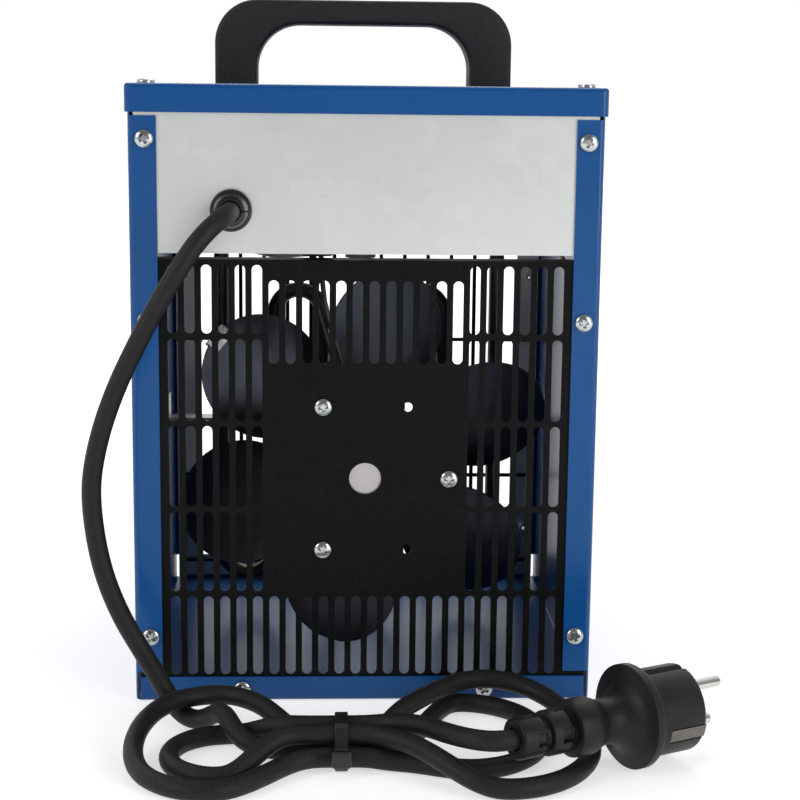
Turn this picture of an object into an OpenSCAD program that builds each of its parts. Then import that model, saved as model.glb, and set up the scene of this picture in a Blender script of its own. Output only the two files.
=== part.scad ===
// Electric fan heater in a sheet steel case.
// The air is drawn in through the slotted rear grille by an axial fan, passes a
// serpentine heating element and leaves through the wire guard at the front (+Y).
// The mains lead comes out of the rear and lies in a tied hank behind the heater.
// Millimetres. Z is up, and the origin is the middle of the base on the ground.

/* [Body] */
// Width of the case over its side walls
body_w = 210; // [196:1:240]
// Depth of the case over its front and rear flanges
body_d = 210; // [200:1:240]
// Height of the lid's top face above the ground
body_h = 281; // [272:1:310]
// Thickness of the painted and the galvanised sheet
sheet = 1; // [0.8:0.1:1.2]
// Outer radius of the case's bends
bend_r = 2.5; // [1.5:0.5:3]
// Width of the side walls' return flanges
flange_w = 12.5; // [11:0.5:14]
// Height of the base's return flanges
base_flange_h = 11.5; // [10:0.5:12]
// Gap between the base flanges and the ends of the side flanges
relief_h = 2.5; // [1.5:0.5:3]
// Height of the control tray's underside above the ground
duct_h = 207; // [205:1:214]
// Gap between sheets and pieces that lie on each other
lap = 0.2; // [0.1:0.05:0.3]

/* [Lid and handle] */
// Height of the lid's turned-down rim
lid_rim_h = 12.5; // [10:0.5:14]
// Gap between the lid's rim and the side walls
lid_gap = 0.25; // [0.2:0.05:0.5]
// Width of the handle over its legs
handle_w = 145; // [125:1:160]
// Height of the handle above the lid
handle_h = 41.5; // [36:0.5:50]
// Depth of the handle from front to rear
handle_d = 24; // [18:1:30]
// Width of each handle leg
handle_leg = 20.5; // [16:0.5:24]
// Thickness of the handle's grip bar
handle_grip = 11.5; // [10:0.5:14]
// Outer corner radius of the handle
handle_r = 21; // [12:1:22]

/* [Fasteners] */
// Diameter of the sheet metal screws' heads
head_d = 8; // [7:0.5:9]
// Height of the screw heads
head_h = 2.4; // [1.8:0.1:3]
// Diameter of the screw shanks
screw_d = 3.9; // [3.5:0.1:4.2]
// Length of the screws under the head
screw_l = 8; // [7:0.5:9]
// Distance of the flange screws from the side of the case
screw_in = 7.3; // [7:0.1:8]
// Heights of the flange screws above the ground
screw_low = 31; // [25:1:45]
screw_mid = 177; // [150:1:185]
screw_high = 257; // [235:1:260]
// Distance of each base flange screw from the middle
base_screw_x = 56; // [40:1:70]

/* [Rear grille] */
// Columns of slots across the grille
slot_columns = 24; // [20:2:24]
// Distance between the columns of slots
slot_pitch = 7.5; // [7.2:0.1:7.6]
// Width of a slot
slot_w = 4.6; // [4:0.1:5]
// Length of a slot
slot_l = 37.5; // [34:0.5:38]
// Height of the lowest slots' lower ends
slot_low = 12.3; // [12:0.1:16]
// Distance between the rows of slots
row_pitch = 39.7; // [39:0.1:40]
// Columns of slots on each side of the plain middle plate
side_columns = 6; // [4:1:6]
// Depth of the grille's turned-in top edge
grille_fold = 12; // [8:1:16]
// Radius of the circle of motor screw holes
motor_screw_r = 38.2; // [37:0.1:39]
// Diameter of the middle hole that shows the motor's bearing cap
sight_hole_d = 14.6; // [14:0.1:16]

/* [Motor and fan] */
// Radius of the fan over its blade tips
fan_r = 92; // [88:0.5:96]
// Number of fan blades
blade_count = 6; // [5:1:6]
// Pitch of the fan blades in degrees
blade_pitch = 26; // [20:1:30]
// Width of a blade along its pitch
blade_w = 60; // [50:1:62]
// Thickness of the fan's aluminium sheet
blade_t = 1.2; // [1:0.1:1.6]
// Distance of the fan's disc in front of the motor
fan_gap = 10; // [9:0.5:14]
// Radius of the motor can
motor_r = 32; // [30:0.5:33]
// Length of the motor can
motor_l = 31; // [30:0.5:34]
// Diameter of the motor shaft
shaft_d = 6; // [5:0.5:7]

/* [Heating element] */
// Diameter of the steel heating tube
tube_d = 8; // [7:0.1:8.5]
// Distance of the element's legs from the middle: inner, second and outer pair
leg_inner = 20; // [18:0.5:21]
leg_second = 45.5; // [44:0.5:47]
leg_outer = 74; // [72:0.5:76]
// Height of the element's lowest point above the ground
element_low = 13; // [11:0.5:20]
// Height of the top bends' highest point above the ground
element_top = 178; // [160:1:182]
// Distance of the element behind the front of the case
element_in = 50; // [44:1:56]

/* [Front] */
// Distance between the guard's upright wires
wire_pitch = 13.2; // [12:0.1:14]
// Number of upright wires
wire_count = 13; // [11:2:13]
// Diameter of the guard's wires
wire_d = 2.2; // [1.8:0.1:2.6]
// Distance of the control shafts from the middle
control_x = 46; // [42:1:50]
// Diameter of the control knobs
knob_d = 38; // [30:1:40]
// Depth of the control knobs
knob_l = 17; // [14:0.5:20]

/* [Mains lead] */
// Diameter of the mains lead
cord_d = 8.5; // [8:0.1:8.6]
// Distance of the gland from the left side of the case
gland_in = 45; // [38:1:55]
// Height of the gland above the control tray
gland_rise = 19; // [17:1:40]
// Diameter of the gland's outer collar
gland_d = 18.6; // [17:0.1:20]
// Diameter of the plug's grip flange
plug_flange_d = 44; // [40:1:46]
// Diameter of the plug's front body
plug_body_d = 37; // [35:1:38]

/* [Hidden] */

blue = [0.07, 0.24, 0.50];
black = [0.09, 0.09, 0.10];
rubber = [0.13, 0.13, 0.13];
galvanised = [0.74, 0.76, 0.76];
steel = [0.78, 0.78, 0.76];
aluminium = [0.62, 0.63, 0.63];
copper = [0.72, 0.40, 0.22];
brass = [0.80, 0.66, 0.32];
amber = [0.90, 0.45, 0.08];
cream = [0.88, 0.86, 0.78];

smooth = 48;
half_w = body_w / 2;
half_d = body_d / 2;
wall_top = body_h - sheet - lap;
flange_top = body_h - 14;
base_end = half_w - 2.5;
tab_w = 15;
tab_l = 22;

// Planes of the sheets that lie behind the rear and front flanges
rear_plane = -half_d + sheet + lap;
front_plane = half_d - sheet - lap;
inner_half_w = half_w - sheet - lap;
// The sheets behind the flanges end where the bends of the case begin
panel_half_w = half_w - bend_r;

// Lid
lid_half_w = half_w + lid_gap + sheet;
lid_half_d = half_d + lid_gap + sheet;
lid_bottom = body_h - lid_rim_h;
lid_r = 3;
lid_screw_x = half_w - screw_in;
lid_screw_y = half_d - 11;
hole_gap = 0.25;
thread_gap = 0.03;
handle_screw_x = handle_w / 2 - handle_leg / 2;
handle_screw_d = 4;
handle_screw_l = 14;

// Grille
grille_top = duct_h - 2.6;
plate_low = slot_low + row_pitch - 2;
mid_slot_high = grille_top - 9.2;
mid_slot_low = mid_slot_high - slot_l;
motor_hole_d = 4.4;
rows = 5;

// Motor and fan lie along Y at the middle of the air duct
axis_z = (sheet + duct_h) / 2 + 1;
lug_t = 2.5;
can_rear = rear_plane + sheet + lug_t;
can_front = can_rear + motor_l;
can_t = 1.2;
bell_t = 1.5;
bearing_r = 6;
bearing_l = 7;
run_gap = 0.05;
stack_r = motor_r - can_t - lap;
stack_l = 15;
stack_y = can_rear + can_t + 6;
rotor_r = 17;
air_gap = 0.6;
winding_l = 4;
disc_y = can_front + bell_t + fan_gap;
disc_r = 23;
hub_r = 9;
hub_l = 7;
shaft_rear = can_rear - lug_t + 0.5;
shaft_front = disc_y + blade_t + 9;
blade_phase = 20;
blade_mid_r = fan_r - blade_w / 2;

// Element
element_y = half_d - element_in;
tube_r = tube_d / 2;
top_bend_z = element_top - tube_r - (leg_second - leg_inner) / 2;
outer_bend_z = element_low + tube_r + (leg_outer - leg_second) / 2;
inner_bend_z = element_low + tube_r + leg_inner;
element_end = duct_h + sheet + 9;
stud_l = 8;
nut_t = 4;
nut_wall = 4.5;
rail_drop = 58;
rail_z = top_bend_z - rail_drop;
rail_d = 12;
rail_t = 1.5;
rail_tab = 14;
cutout_w = 22;
cutout_r = 8;
cutout_h = 10;
cutout_back = 22;
cutout_y = element_y - cutout_back;
wire_drop = 9;
wire_rise = 12;

// Front
frame_w = 12;
guard_low = bend_r;
guard_top = duct_h - lap;
rail_heights = [62, 141];
knob_gap = 1.5;
spindle_r = 3;
switch_size = [34, 30, 34];
control_z = (duct_h + sheet + body_h) / 2 - 2;
stat_r = 15;
stat_l = 22;
bulb_r = 3;
bulb_l = 66;
lamp_r = 5;

// Terminal block and wires
block_w = 36;
block_d = 18;
block_h = 22;
block_y = rear_plane + sheet + 26;
wire_r = 1.3;
wire_sides = 6;
grommet_x = -22;
grommet_y = can_rear + 14;
grommet_r = 5;

// Mains lead: it leaves the gland, falls to the ground and enters the hank
gland_x = -half_w + gland_in;
gland_z = duct_h + gland_rise;
cord_r = cord_d / 2;
cord_sides = 8;
gland_out = 8;
gland_neck_r = 7;
strand = cord_d + 1.2;
tie_x = -11;
tie_y = -180;
tie_t = 1.2;
tie_w = 5.5;
tie_gap = 0.3;
tie_run = 10;
low_z = tie_t + tie_gap + cord_r;
high_z = low_z + strand * sin(60);
over_z = cord_r + cord_d + 1.4;
rings_per_run = 4;
rings_per_end = 5;
// A strand that falls to the ground stays up for this share of its run
high_share = 0.3;

// Route of the free stretch from the gland to the tie, laid by hand
drop_start = [gland_x, rear_plane - gland_out, gland_z];
drop_points = [
  drop_start,
  drop_start - [0, cord_d, 0],
  drop_start + [-1.5, -15.2, -1],
  drop_start + [-6, -21.2, -4.5],
  drop_start + [-13, -25.2, -12],
  drop_start + [-21, -27.2, -24],
  [-90, -139, 187],
  [-99, -138, 170],
  [-108, -137, 151],
  [-115, -137, 131],
  [-119, -137, 110],
  [-118, -137, 89],
  [-114, -137, 69],
  [-107, -136, 50],
  [-98, -135, 33],
  [-91.5, -133.2, 20.5],
  [-87.5, -133.4, 12.8],
  [-82.8, -136, 7],
  [-76.8, -141, 4.7],
  [-70.8, -146.7, 6.8],
  [-65.5, -152.7, 11.6],
  [-61.5, -159.5, 14],
  [-58.6, -167, 13.2],
  [-54.5, -174, 9.8],
  [-48, -179, 7],
  [-39, -180.6, 5.8],
  [-30, tie_y, low_z],
  [tie_x - tie_run, tie_y, low_z]
];

// Places of the strands under the tie: columns from the middle, and layer 0 or 1
tie_places = [[0, 0], [-1, 0], [1, 0], [-0.5, 1], [0.5, 1]];

// End loops: middle x, half length, far y, near y, height of the far and the near side,
// how long each keeps close to the bundle, and how fast it climbs
end_loops = [
  [42, 34, -120, -200, cord_r, cord_r, 1.4, 4],
  [-64, 34, -136, -221, over_z, cord_r, 1, 1.6],
  [55, 41, -116, -221, over_z, cord_r, 0.85, 3],
  [-60, 23, -159, -207, cord_r, cord_r, 1.6, 4]
];

// Plug: it rests on its grip flange behind the right end loops
plug_turn = 27;
plug_roll = 16;
plug_tail = [58, -213, plug_flange_d / 2 + 0.1];
plug_len = 84;
pin_d = 4.8;
pin_l = 19;
pin_apart = 19;
// The pins stand on a narrower root in the plug
pin_root_d = 4.2;
pin_root_l = 12;
pin_root_out = 0.5;
lead_points = [
  [tie_x + tie_run, tie_y + strand / 2, high_z],
  [4, tie_y + strand / 2, high_z + 0.4],
  [10.5, -177, 15.8],
  [17, -181.4, 17.2],
  [24, -188.5, 18.6],
  [31, -198.5, 19.8],
  [37, -207.2, 21.2],
  [43, -213, 22],
  [50, -215.2, 22.1],
  plug_tail,
  plug_tail + 5 * [cos(plug_turn), sin(plug_turn), 0]
];

// Outlines

module rounded(w, h, r) {
  square([w - 2 * r, h], center = true);
  square([w, h - 2 * r], center = true);
  for (x = [-1, 1], y = [-1, 1])
    translate([x * (w / 2 - r), y * (h / 2 - r)]) circle(r, $fn = smooth);
}

module slot_shape(x, low, high, w) {
  r = w / 2;
  translate([x - r, low + r]) square([w, high - low - w]);
  translate([x, low + r]) circle(r, $fn = smooth);
  translate([x, high - r]) circle(r, $fn = smooth);
}

// Lays an outline in X and Z, t thick, with its rear face at y
module upright(y, t) {
  translate([0, y + t, 0]) rotate([90, 0, 0]) linear_extrude(t) children();
}

// Turns a piece so that its +Z points out of the rear or out of the front
module rearward(x, y, z) {
  translate([x, y, z]) rotate([90, 0, 0]) children();
}

module frontward(x, y, z) {
  translate([x, y, z]) rotate([-90, 0, 0]) children();
}

// A case with all its bends rounded, open at the top
module rounded_case(w, d, top, r) {
  intersection() {
    linear_extrude(top) rounded(w, d, r);
    upright(-d / 2, d) translate([0, top / 2 + r]) rounded(w, top + 2 * r, r);
    translate([-w / 2, 0, 0]) rotate([90, 0, 90]) linear_extrude(w)
      translate([0, top / 2 + r]) rounded(d, top + 2 * r, r);
  }
}

// Pan head screw with a cross recess: the head stands on z = 0
module screw(head, height, shank, length) {
  difference() {
    union() {
      cylinder(d = head, h = height * 0.45, $fn = smooth);
      translate([0, 0, height * 0.45])
        cylinder(d1 = head, d2 = head * 0.62, h = height * 0.55, $fn = smooth);
    }
    for (a = [0, 90])
      rotate([0, 0, a]) translate([-head * 0.26, -head * 0.05, height * 0.35])
        cube([head * 0.52, head * 0.1, height]);
  }
  translate([0, 0, -length]) cylinder(d = shank, h = length, $fn = smooth);
}

module case_screw() {
  screw(head_d, head_h, screw_d, screw_l);
}

// Places of the flange screws in X and Z
side_screw_places = [
  for (x = [-1, 1], z = [screw_low, screw_mid, screw_high]) [x * (half_w - screw_in), z]
];
base_screw_places = [for (x = [-1, 1]) [x * base_screw_x, base_flange_h / 2]];

module holes(places, d) {
  for (p = places) translate(p) circle(d = d, $fn = smooth);
}

// Case

module flange_window(y) {
  // The opening between the flanges, the corner reliefs and the notches of one end
  translate([-half_w + flange_w, y - sheet, base_flange_h])
    cube([body_w - 2 * flange_w, 3 * sheet, body_h]);
  translate([-half_w + sheet, y - sheet, base_flange_h])
    cube([body_w - 2 * sheet, 3 * sheet, relief_h]);
  translate([-half_w + sheet, y - sheet, flange_top])
    cube([body_w - 2 * sheet, 3 * sheet, body_h]);
  for (x = [-half_w + sheet, base_end])
    translate([x, y - sheet, -1]) cube([half_w - sheet - base_end, 3 * sheet, base_flange_h + 2]);
}

module housing_wrap() color(blue) {
  difference() {
    rounded_case(body_w, body_d, wall_top, bend_r);
    translate([0, 0, sheet])
      rounded_case(body_w - 2 * sheet, body_d - 2 * sheet, wall_top, bend_r - sheet);
    flange_window(-half_d);
    flange_window(half_d - sheet);
    upright(-half_d - 1, body_d + 2) {
      holes(side_screw_places, screw_d + 2 * hole_gap);
      holes(base_screw_places, screw_d + 2 * hole_gap);
    }
  }
  // Tabs under the lid's screws
  for (x = [-1, 1], y = [-1, 1])
    difference() {
      translate([x * (half_w - sheet / 2 - tab_w / 2), y * (half_d - 6 - tab_l / 2), wall_top - sheet / 2])
        cube([tab_w, tab_l, sheet], center = true);
      translate([x * lid_screw_x, y * lid_screw_y, wall_top - 2 * sheet])
        cylinder(d = screw_d + 2 * thread_gap, h = 3 * sheet, $fn = smooth);
    }
}

module lid() color(blue) difference() {
  intersection() {
    translate([0, 0, lid_bottom]) linear_extrude(lid_rim_h) rounded(2 * lid_half_w, 2 * lid_half_d, lid_r);
    upright(-lid_half_d, 2 * lid_half_d)
      translate([0, body_h - body_h / 2]) rounded(2 * lid_half_w, body_h, lid_r * 0.7);
    translate([-lid_half_w, 0, 0]) rotate([90, 0, 90]) linear_extrude(2 * lid_half_w)
      translate([0, body_h / 2]) rounded(2 * lid_half_d, body_h, lid_r * 0.7);
  }
  translate([0, 0, lid_bottom - 1]) linear_extrude(lid_rim_h - sheet + 1)
    rounded(2 * (lid_half_w - sheet), 2 * (lid_half_d - sheet), lid_r - sheet);
  for (x = [-1, 1], y = [-1, 1])
    translate([x * lid_screw_x, y * lid_screw_y, lid_bottom])
      cylinder(d = screw_d + 2 * hole_gap, h = lid_rim_h + 1, $fn = smooth);
  for (x = [-1, 1])
    translate([x * handle_screw_x, 0, lid_bottom])
      cylinder(d = handle_screw_d + 2 * hole_gap, h = lid_rim_h + 1, $fn = smooth);
}

module lid_screws() color(steel)
  for (x = [-1, 1], y = [-1, 1])
    translate([x * lid_screw_x, y * lid_screw_y, body_h]) case_screw();

module handle_outline() {
  inner_w = handle_w - 2 * handle_leg;
  inner_h = handle_h - handle_grip;
  inner_r = min(handle_r, inner_h - 2);
  difference() {
    union() {
      translate([-handle_w / 2, 0]) square([handle_w, handle_h - handle_r]);
      translate([-handle_w / 2 + handle_r, 0]) square([handle_w - 2 * handle_r, handle_h]);
      for (x = [-1, 1])
        translate([x * (handle_w / 2 - handle_r), handle_h - handle_r]) circle(handle_r, $fn = smooth);
    }
    translate([-handle_w, -handle_h]) square([2 * handle_w, handle_h]);
    translate([-inner_w / 2, -1]) square([inner_w, inner_h - inner_r + 1]);
    translate([-inner_w / 2 + inner_r, -1]) square([inner_w - 2 * inner_r, inner_h + 1]);
    for (x = [-1, 1])
      translate([x * (inner_w / 2 - inner_r), inner_h - inner_r]) circle(inner_r, $fn = smooth);
  }
}

module handle() color(black) difference() {
  upright(-handle_d / 2, handle_d) translate([0, body_h]) handle_outline();
  for (x = [-1, 1])
    translate([x * handle_screw_x, 0, body_h - 1])
      cylinder(d = handle_screw_d + 2 * thread_gap, h = handle_screw_l, $fn = smooth);
}

module handle_screws() color(steel)
  for (x = [-1, 1])
    translate([x * handle_screw_x, 0, body_h - sheet]) rotate([180, 0, 0])
      screw(head_d, head_h, handle_screw_d, handle_screw_l - 2);

// Rear

column_x = [for (i = [0:slot_columns - 1]) (i - (slot_columns - 1) / 2) * slot_pitch];

module grille_slots() {
  for (i = [0:slot_columns - 1])
    if (i < side_columns || i >= slot_columns - side_columns)
      for (row = [0:rows - 1])
        let (low = slot_low + row * row_pitch)
          slot_shape(column_x[i], low, min(low + slot_l, grille_top - 2.4), slot_w);
    else {
      slot_shape(column_x[i], slot_low, slot_low + slot_l, slot_w);
      slot_shape(column_x[i], mid_slot_low, mid_slot_high, slot_w);
    }
}

motor_hole_places = [
  for (a = [0:60:300]) [motor_screw_r * cos(a), axis_z + motor_screw_r * sin(a)]
];

module rear_grille() color(black) {
  upright(rear_plane, sheet) difference() {
    translate([-panel_half_w, guard_low]) square([2 * panel_half_w, grille_top - guard_low]);
    grille_slots();
    holes(motor_hole_places, motor_hole_d);
    translate([0, axis_z]) circle(d = sight_hole_d, $fn = smooth);
    holes([for (p = side_screw_places) if (p[1] < grille_top) p], screw_d + 2 * thread_gap);
    holes(base_screw_places, screw_d + 2 * thread_gap);
  }
  translate([-panel_half_w, rear_plane, grille_top - sheet])
    cube([2 * panel_half_w, grille_fold, sheet]);
}

module control_tray() color(galvanised) {
  upright(rear_plane, sheet) difference() {
    translate([-panel_half_w, duct_h]) square([2 * panel_half_w, wall_top - sheet - lap - duct_h]);
    translate([gland_x, gland_z]) circle(gland_neck_r + lap, $fn = smooth);
    holes([for (p = side_screw_places) if (p[1] > duct_h) p], screw_d + 2 * thread_gap);
  }
  difference() {
    translate([-panel_half_w, rear_plane, duct_h])
      cube([2 * panel_half_w, front_plane - sheet - lap - rear_plane, sheet]);
    for (x = [-1, 1])
      translate([x * leg_outer, element_y, duct_h - 1]) cylinder(r = tube_r + hole_gap, h = sheet + 2, $fn = smooth);
    translate([grommet_x, grommet_y, duct_h - 1]) cylinder(r = grommet_r + lap, h = sheet + 2, $fn = smooth);
    translate([bulb_x - 2, capillary_y, duct_h - 1]) cylinder(r = 2, h = sheet + 2, $fn = smooth);
    translate([earth_x, earth_y, duct_h - 1]) cylinder(d = earth_d + 2 * thread_gap, h = sheet + 2, $fn = smooth);
  }
}

module rear_screws() color(steel)
  for (p = side_screw_places) rearward(p[0], -half_d, p[1]) case_screw();

module base_screws() color(steel)
  for (p = base_screw_places) {
    rearward(p[0], -half_d, p[1]) case_screw();
    frontward(p[0], half_d, p[1]) case_screw();
  }

module front_screws() color(steel)
  for (p = side_screw_places) frontward(p[0], half_d, p[1]) case_screw();

module motor_screws() color(steel)
  for (a = [0:120:240])
    rearward(motor_screw_r * cos(a), rear_plane, axis_z + motor_screw_r * sin(a))
      screw(head_d, head_h, screw_d, sheet + lug_t + 2);

// Motor

module ring(outer, inner, length) {
  difference() {
    cylinder(r = outer, h = length, $fn = smooth);
    translate([0, 0, -1]) cylinder(r = inner, h = length + 2, $fn = smooth);
  }
}

module motor_can() color(steel) {
  frontward(0, can_rear, axis_z) {
    ring(motor_r, motor_r - can_t, motor_l);
    ring(motor_r - can_t / 2, bearing_r + 0.8, can_t);
  }
  // Bearing housing with a closed cap behind the grille's middle hole
  frontward(0, can_rear - lug_t + 0.3, axis_z) difference() {
    cylinder(r = bearing_r + 1.4, h = lug_t + bearing_l - 1.3, $fn = smooth);
    translate([0, 0, 1]) cylinder(r = bearing_r + run_gap, h = lug_t + bearing_l, $fn = smooth);
  }
  // Mounting lugs against the grille
  for (a = [0:120:240])
    frontward(0, rear_plane + sheet, axis_z) rotate([0, 0, -a]) difference() {
      translate([motor_r - 4, -5, 0]) cube([motor_screw_r - motor_r + 9, 10, lug_t + can_t / 2]);
      translate([motor_screw_r, 0, -1]) cylinder(d = screw_d + 2 * thread_gap, h = lug_t + 3, $fn = smooth);
    }
}

module motor_end_bell() color(steel)
  frontward(0, can_front, axis_z) {
    ring(motor_r, bearing_r + run_gap, bell_t);
    translate([0, 0, -bearing_l + bell_t + 1]) ring(bearing_r + 1.2, bearing_r + run_gap, bearing_l - bell_t);
  }

module stator_core() color(steel)
  frontward(0, stack_y, axis_z) ring(stack_r, rotor_r + air_gap, stack_l);

module stator_windings() color(copper)
  for (y = [stack_y - winding_l - 0.1, stack_y + stack_l + 0.1])
    frontward(0, y, axis_z) ring(stack_r - 3, rotor_r + air_gap + 1.5, winding_l);

module rear_bearing() color(brass)
  frontward(0, can_rear - lug_t + 1.3, axis_z) ring(bearing_r, shaft_d / 2 + run_gap, bearing_l);

module front_bearing() color(brass)
  frontward(0, can_front - bearing_l + bell_t + 1, axis_z)
    ring(bearing_r, shaft_d / 2 + run_gap, bearing_l - 1);

module rotor_core() color(steel)
  frontward(0, stack_y, axis_z) ring(rotor_r, shaft_d / 2 + thread_gap, stack_l);

module motor_shaft() color(steel)
  frontward(0, shaft_rear + 1, axis_z) cylinder(d = shaft_d, h = shaft_front - shaft_rear - 1, $fn = smooth);

// Fan

module fan_hub() color(brass)
  frontward(0, disc_y - hub_l - lap / 2, axis_z) ring(hub_r, shaft_d / 2 + thread_gap, hub_l);

module blade_outline() {
  root = disc_r * 0.62;
  neck = blade_mid_r - blade_w * 0.32;
  intersection() {
    translate([blade_mid_r, 0]) circle(d = blade_w, $fn = smooth);
    circle(fan_r - 0.5, $fn = smooth);
  }
  polygon([[root, -10], [neck, -blade_w * 0.33], [neck, blade_w * 0.33], [root, 10]]);
}

module fan_blades() color(aluminium)
  frontward(0, disc_y, axis_z) difference() {
    union() {
      cylinder(r = disc_r, h = blade_t, $fn = smooth);
      for (i = [0:blade_count - 1])
        rotate([0, 0, -blade_phase + i * 360 / blade_count])
          translate([0, 0, blade_t / 2]) rotate([blade_pitch, 0, 0])
            linear_extrude(blade_t, center = true) blade_outline();
    }
    translate([0, 0, -blade_w]) cylinder(r = hub_r, h = blade_w, $fn = smooth);
    translate([0, 0, -1]) cylinder(d = shaft_d + 2 * thread_gap, h = blade_t + 2, $fn = smooth);
    translate([0, 0, blade_t]) cylinder(r = hub_r, h = blade_w, $fn = smooth);
  }

module fan_nut() color(brass)
  frontward(0, disc_y + blade_t + lap / 2, axis_z) difference() {
    cylinder(r = hub_r - 1.5, h = 5, $fn = 6);
    translate([0, 0, -1]) cylinder(d = shaft_d + 2 * thread_gap, h = 7, $fn = smooth);
  }

// Balance clip pressed on the edge of one blade
clip_l = 12;
clip_w = 5;
module balance_clip() color(steel)
  frontward(0, disc_y, axis_z) rotate([0, 0, -blade_phase - 120])
    translate([0, 0, blade_t / 2]) rotate([blade_pitch, 0, 0])
      translate([fan_r - clip_w - 1, -clip_l / 2, 0])
        difference() {
          translate([0, 0, -1.6]) cube([clip_w + 2, clip_l, 3.2]);
          translate([-1, -1, -blade_t / 2 - run_gap]) cube([clip_w + 1.6, clip_l + 2, blade_t + 2 * run_gap]);
        }

// Heating element

module leg(x, low, high) {
  translate([x, element_y, low]) cylinder(r = tube_r, h = high - low, $fn = smooth);
}

// Half ring that joins two legs r each side of x, upwards or downwards
module bend(x, z, r, up) {
  translate([x, element_y, z]) rotate([90, 0, 0]) rotate([0, 0, up ? 0 : 180])
    rotate_extrude(angle = 180, $fn = 96) translate([r, 0]) circle(tube_r, $fn = smooth);
}

module heating_element() color([0.10, 0.10, 0.11]) {
  for (x = [-1, 1]) {
    leg(x * leg_outer, outer_bend_z, element_end);
    leg(x * leg_second, outer_bend_z, top_bend_z);
    leg(x * leg_inner, inner_bend_z, top_bend_z);
    bend(x * (leg_outer + leg_second) / 2, outer_bend_z, (leg_outer - leg_second) / 2, false);
    bend(x * (leg_second + leg_inner) / 2, top_bend_z, (leg_second - leg_inner) / 2, true);
  }
  bend(0, inner_bend_z, leg_inner, false);
}

module element_nuts() color(brass)
  for (x = [-1, 1], z = [duct_h - nut_t - lap, duct_h + sheet + lap])
    translate([x * leg_outer, element_y, z]) difference() {
      cylinder(r = tube_r + nut_wall, h = nut_t, $fn = 6);
      translate([0, 0, -1]) cylinder(r = tube_r + run_gap, h = nut_t + 2, $fn = smooth);
    }

module element_studs() color(steel)
  for (x = [-1, 1])
    translate([x * leg_outer, element_y, element_end]) cylinder(r = 2, h = stud_l, $fn = smooth);

module element_rail() color(steel) {
  difference() {
    translate([-inner_half_w, element_y - rail_d / 2, rail_z]) cube([2 * inner_half_w, rail_d, rail_t]);
    for (x = [leg_outer, leg_second, leg_inner], side = [-1, 1])
      translate([side * x, element_y, rail_z - 1]) cylinder(r = tube_r + hole_gap, h = rail_t + 2, $fn = smooth);
  }
  for (x = [-inner_half_w, inner_half_w - rail_t])
    translate([x, element_y - rail_d / 2, rail_z]) cube([rail_t, rail_d, rail_tab]);
}

module thermal_cutout() color(cream) {
  translate([-cutout_w / 2, cutout_y - 5, duct_h - lap - 4]) cube([cutout_w, 10, 4]);
  translate([0, cutout_y, duct_h - lap - 3 - cutout_h]) cylinder(r = cutout_r, h = cutout_h, $fn = smooth);
}

// Tubes swept along a list of points

function unit(v) = v / norm(v);
function along(p, i) = unit(p[min(i + 1, len(p) - 1)] - p[max(i - 1, 0)]);
function across(p, i, last) =
  let (t = along(p, i), m = unit(last - (last * t) * t))
    i == len(p) - 1 ? [m] : concat([m], across(p, i + 1, m));

module tube(p, r, sides) {
  n = len(p);
  start = abs(along(p, 0)[2]) > 0.8 ? [1, 0, 0] : [0, 0, 1];
  m = across(p, 0, start);
  points = [
    for (i = [0:n - 1], s = [0:sides - 1])
      let (a = 360 * s / sides)
        p[i] + r * (cos(a) * m[i] + sin(a) * cross(along(p, i), m[i]))
  ];
  walls = [
    for (i = [0:n - 2], s = [0:sides - 1])
      let (a = i * sides + s, b = i * sides + (s + 1) % sides)
        each [[a, a + sides, b], [b, a + sides, b + sides]]
  ];
  first = [for (s = [1:sides - 2]) [0, s, s + 1]];
  last = [for (s = [1:sides - 2]) [(n - 1) * sides, (n - 1) * sides + s + 1, (n - 1) * sides + s]];
  polyhedron(points, concat(walls, first, last));
}

module cutout_wires() color([0.75, 0.73, 0.68]) {
  for (k = [-1, 1])
    tube([
      [-cutout_r - 2 * lap, cutout_y + k * 2, duct_h - wire_drop],
      [-cutout_r - 6, cutout_y + k * 2, duct_h - wire_drop],
      [-leg_inner - 3, cutout_y + 1 + k * 2.3, duct_h - wire_drop - 2.5],
      [-leg_second + 1, cutout_y + 4 + k * 3, duct_h - wire_drop - 4],
      [-leg_outer + 14, cutout_y + 6 + k * 3, duct_h - wire_drop - 1],
      [-leg_outer + 4, cutout_y + 8 + k * 3, duct_h - wire_drop + 3],
      [-leg_outer + 3, cutout_y + 8 + k * 3, duct_h - 2],
      [-leg_outer + 3, cutout_y + 8 + k * 3, duct_h - lap]
    ], wire_r, wire_sides);
}

// Front

module guard_frame() color(galvanised)
  upright(front_plane - sheet, sheet) difference() {
    translate([-panel_half_w, guard_low]) square([2 * panel_half_w, guard_top - guard_low]);
    translate([-panel_half_w + frame_w, guard_low + frame_w])
      square([2 * (panel_half_w - frame_w), guard_top - guard_low - 2 * frame_w]);
    holes([for (p = side_screw_places) if (p[1] < guard_top) p], screw_d + 2 * thread_gap);
    holes(base_screw_places, screw_d + 2 * thread_gap);
  }

module guard_wires() color(black) {
  rail_y = front_plane - sheet - wire_d / 2;
  for (z = concat([guard_low + frame_w / 2 + 3], rail_heights, [guard_top - frame_w / 2]))
    translate([-panel_half_w + 2, rail_y, z]) rotate([0, 90, 0])
      cylinder(d = wire_d, h = 2 * (panel_half_w - 2), $fn = smooth);
  for (i = [0:wire_count - 1])
    translate([(i - (wire_count - 1) / 2) * wire_pitch, rail_y - wire_d * 0.8, guard_low + frame_w / 2])
      cylinder(d = wire_d, h = guard_top - guard_low - frame_w / 2 - 3, $fn = smooth);
}

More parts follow.
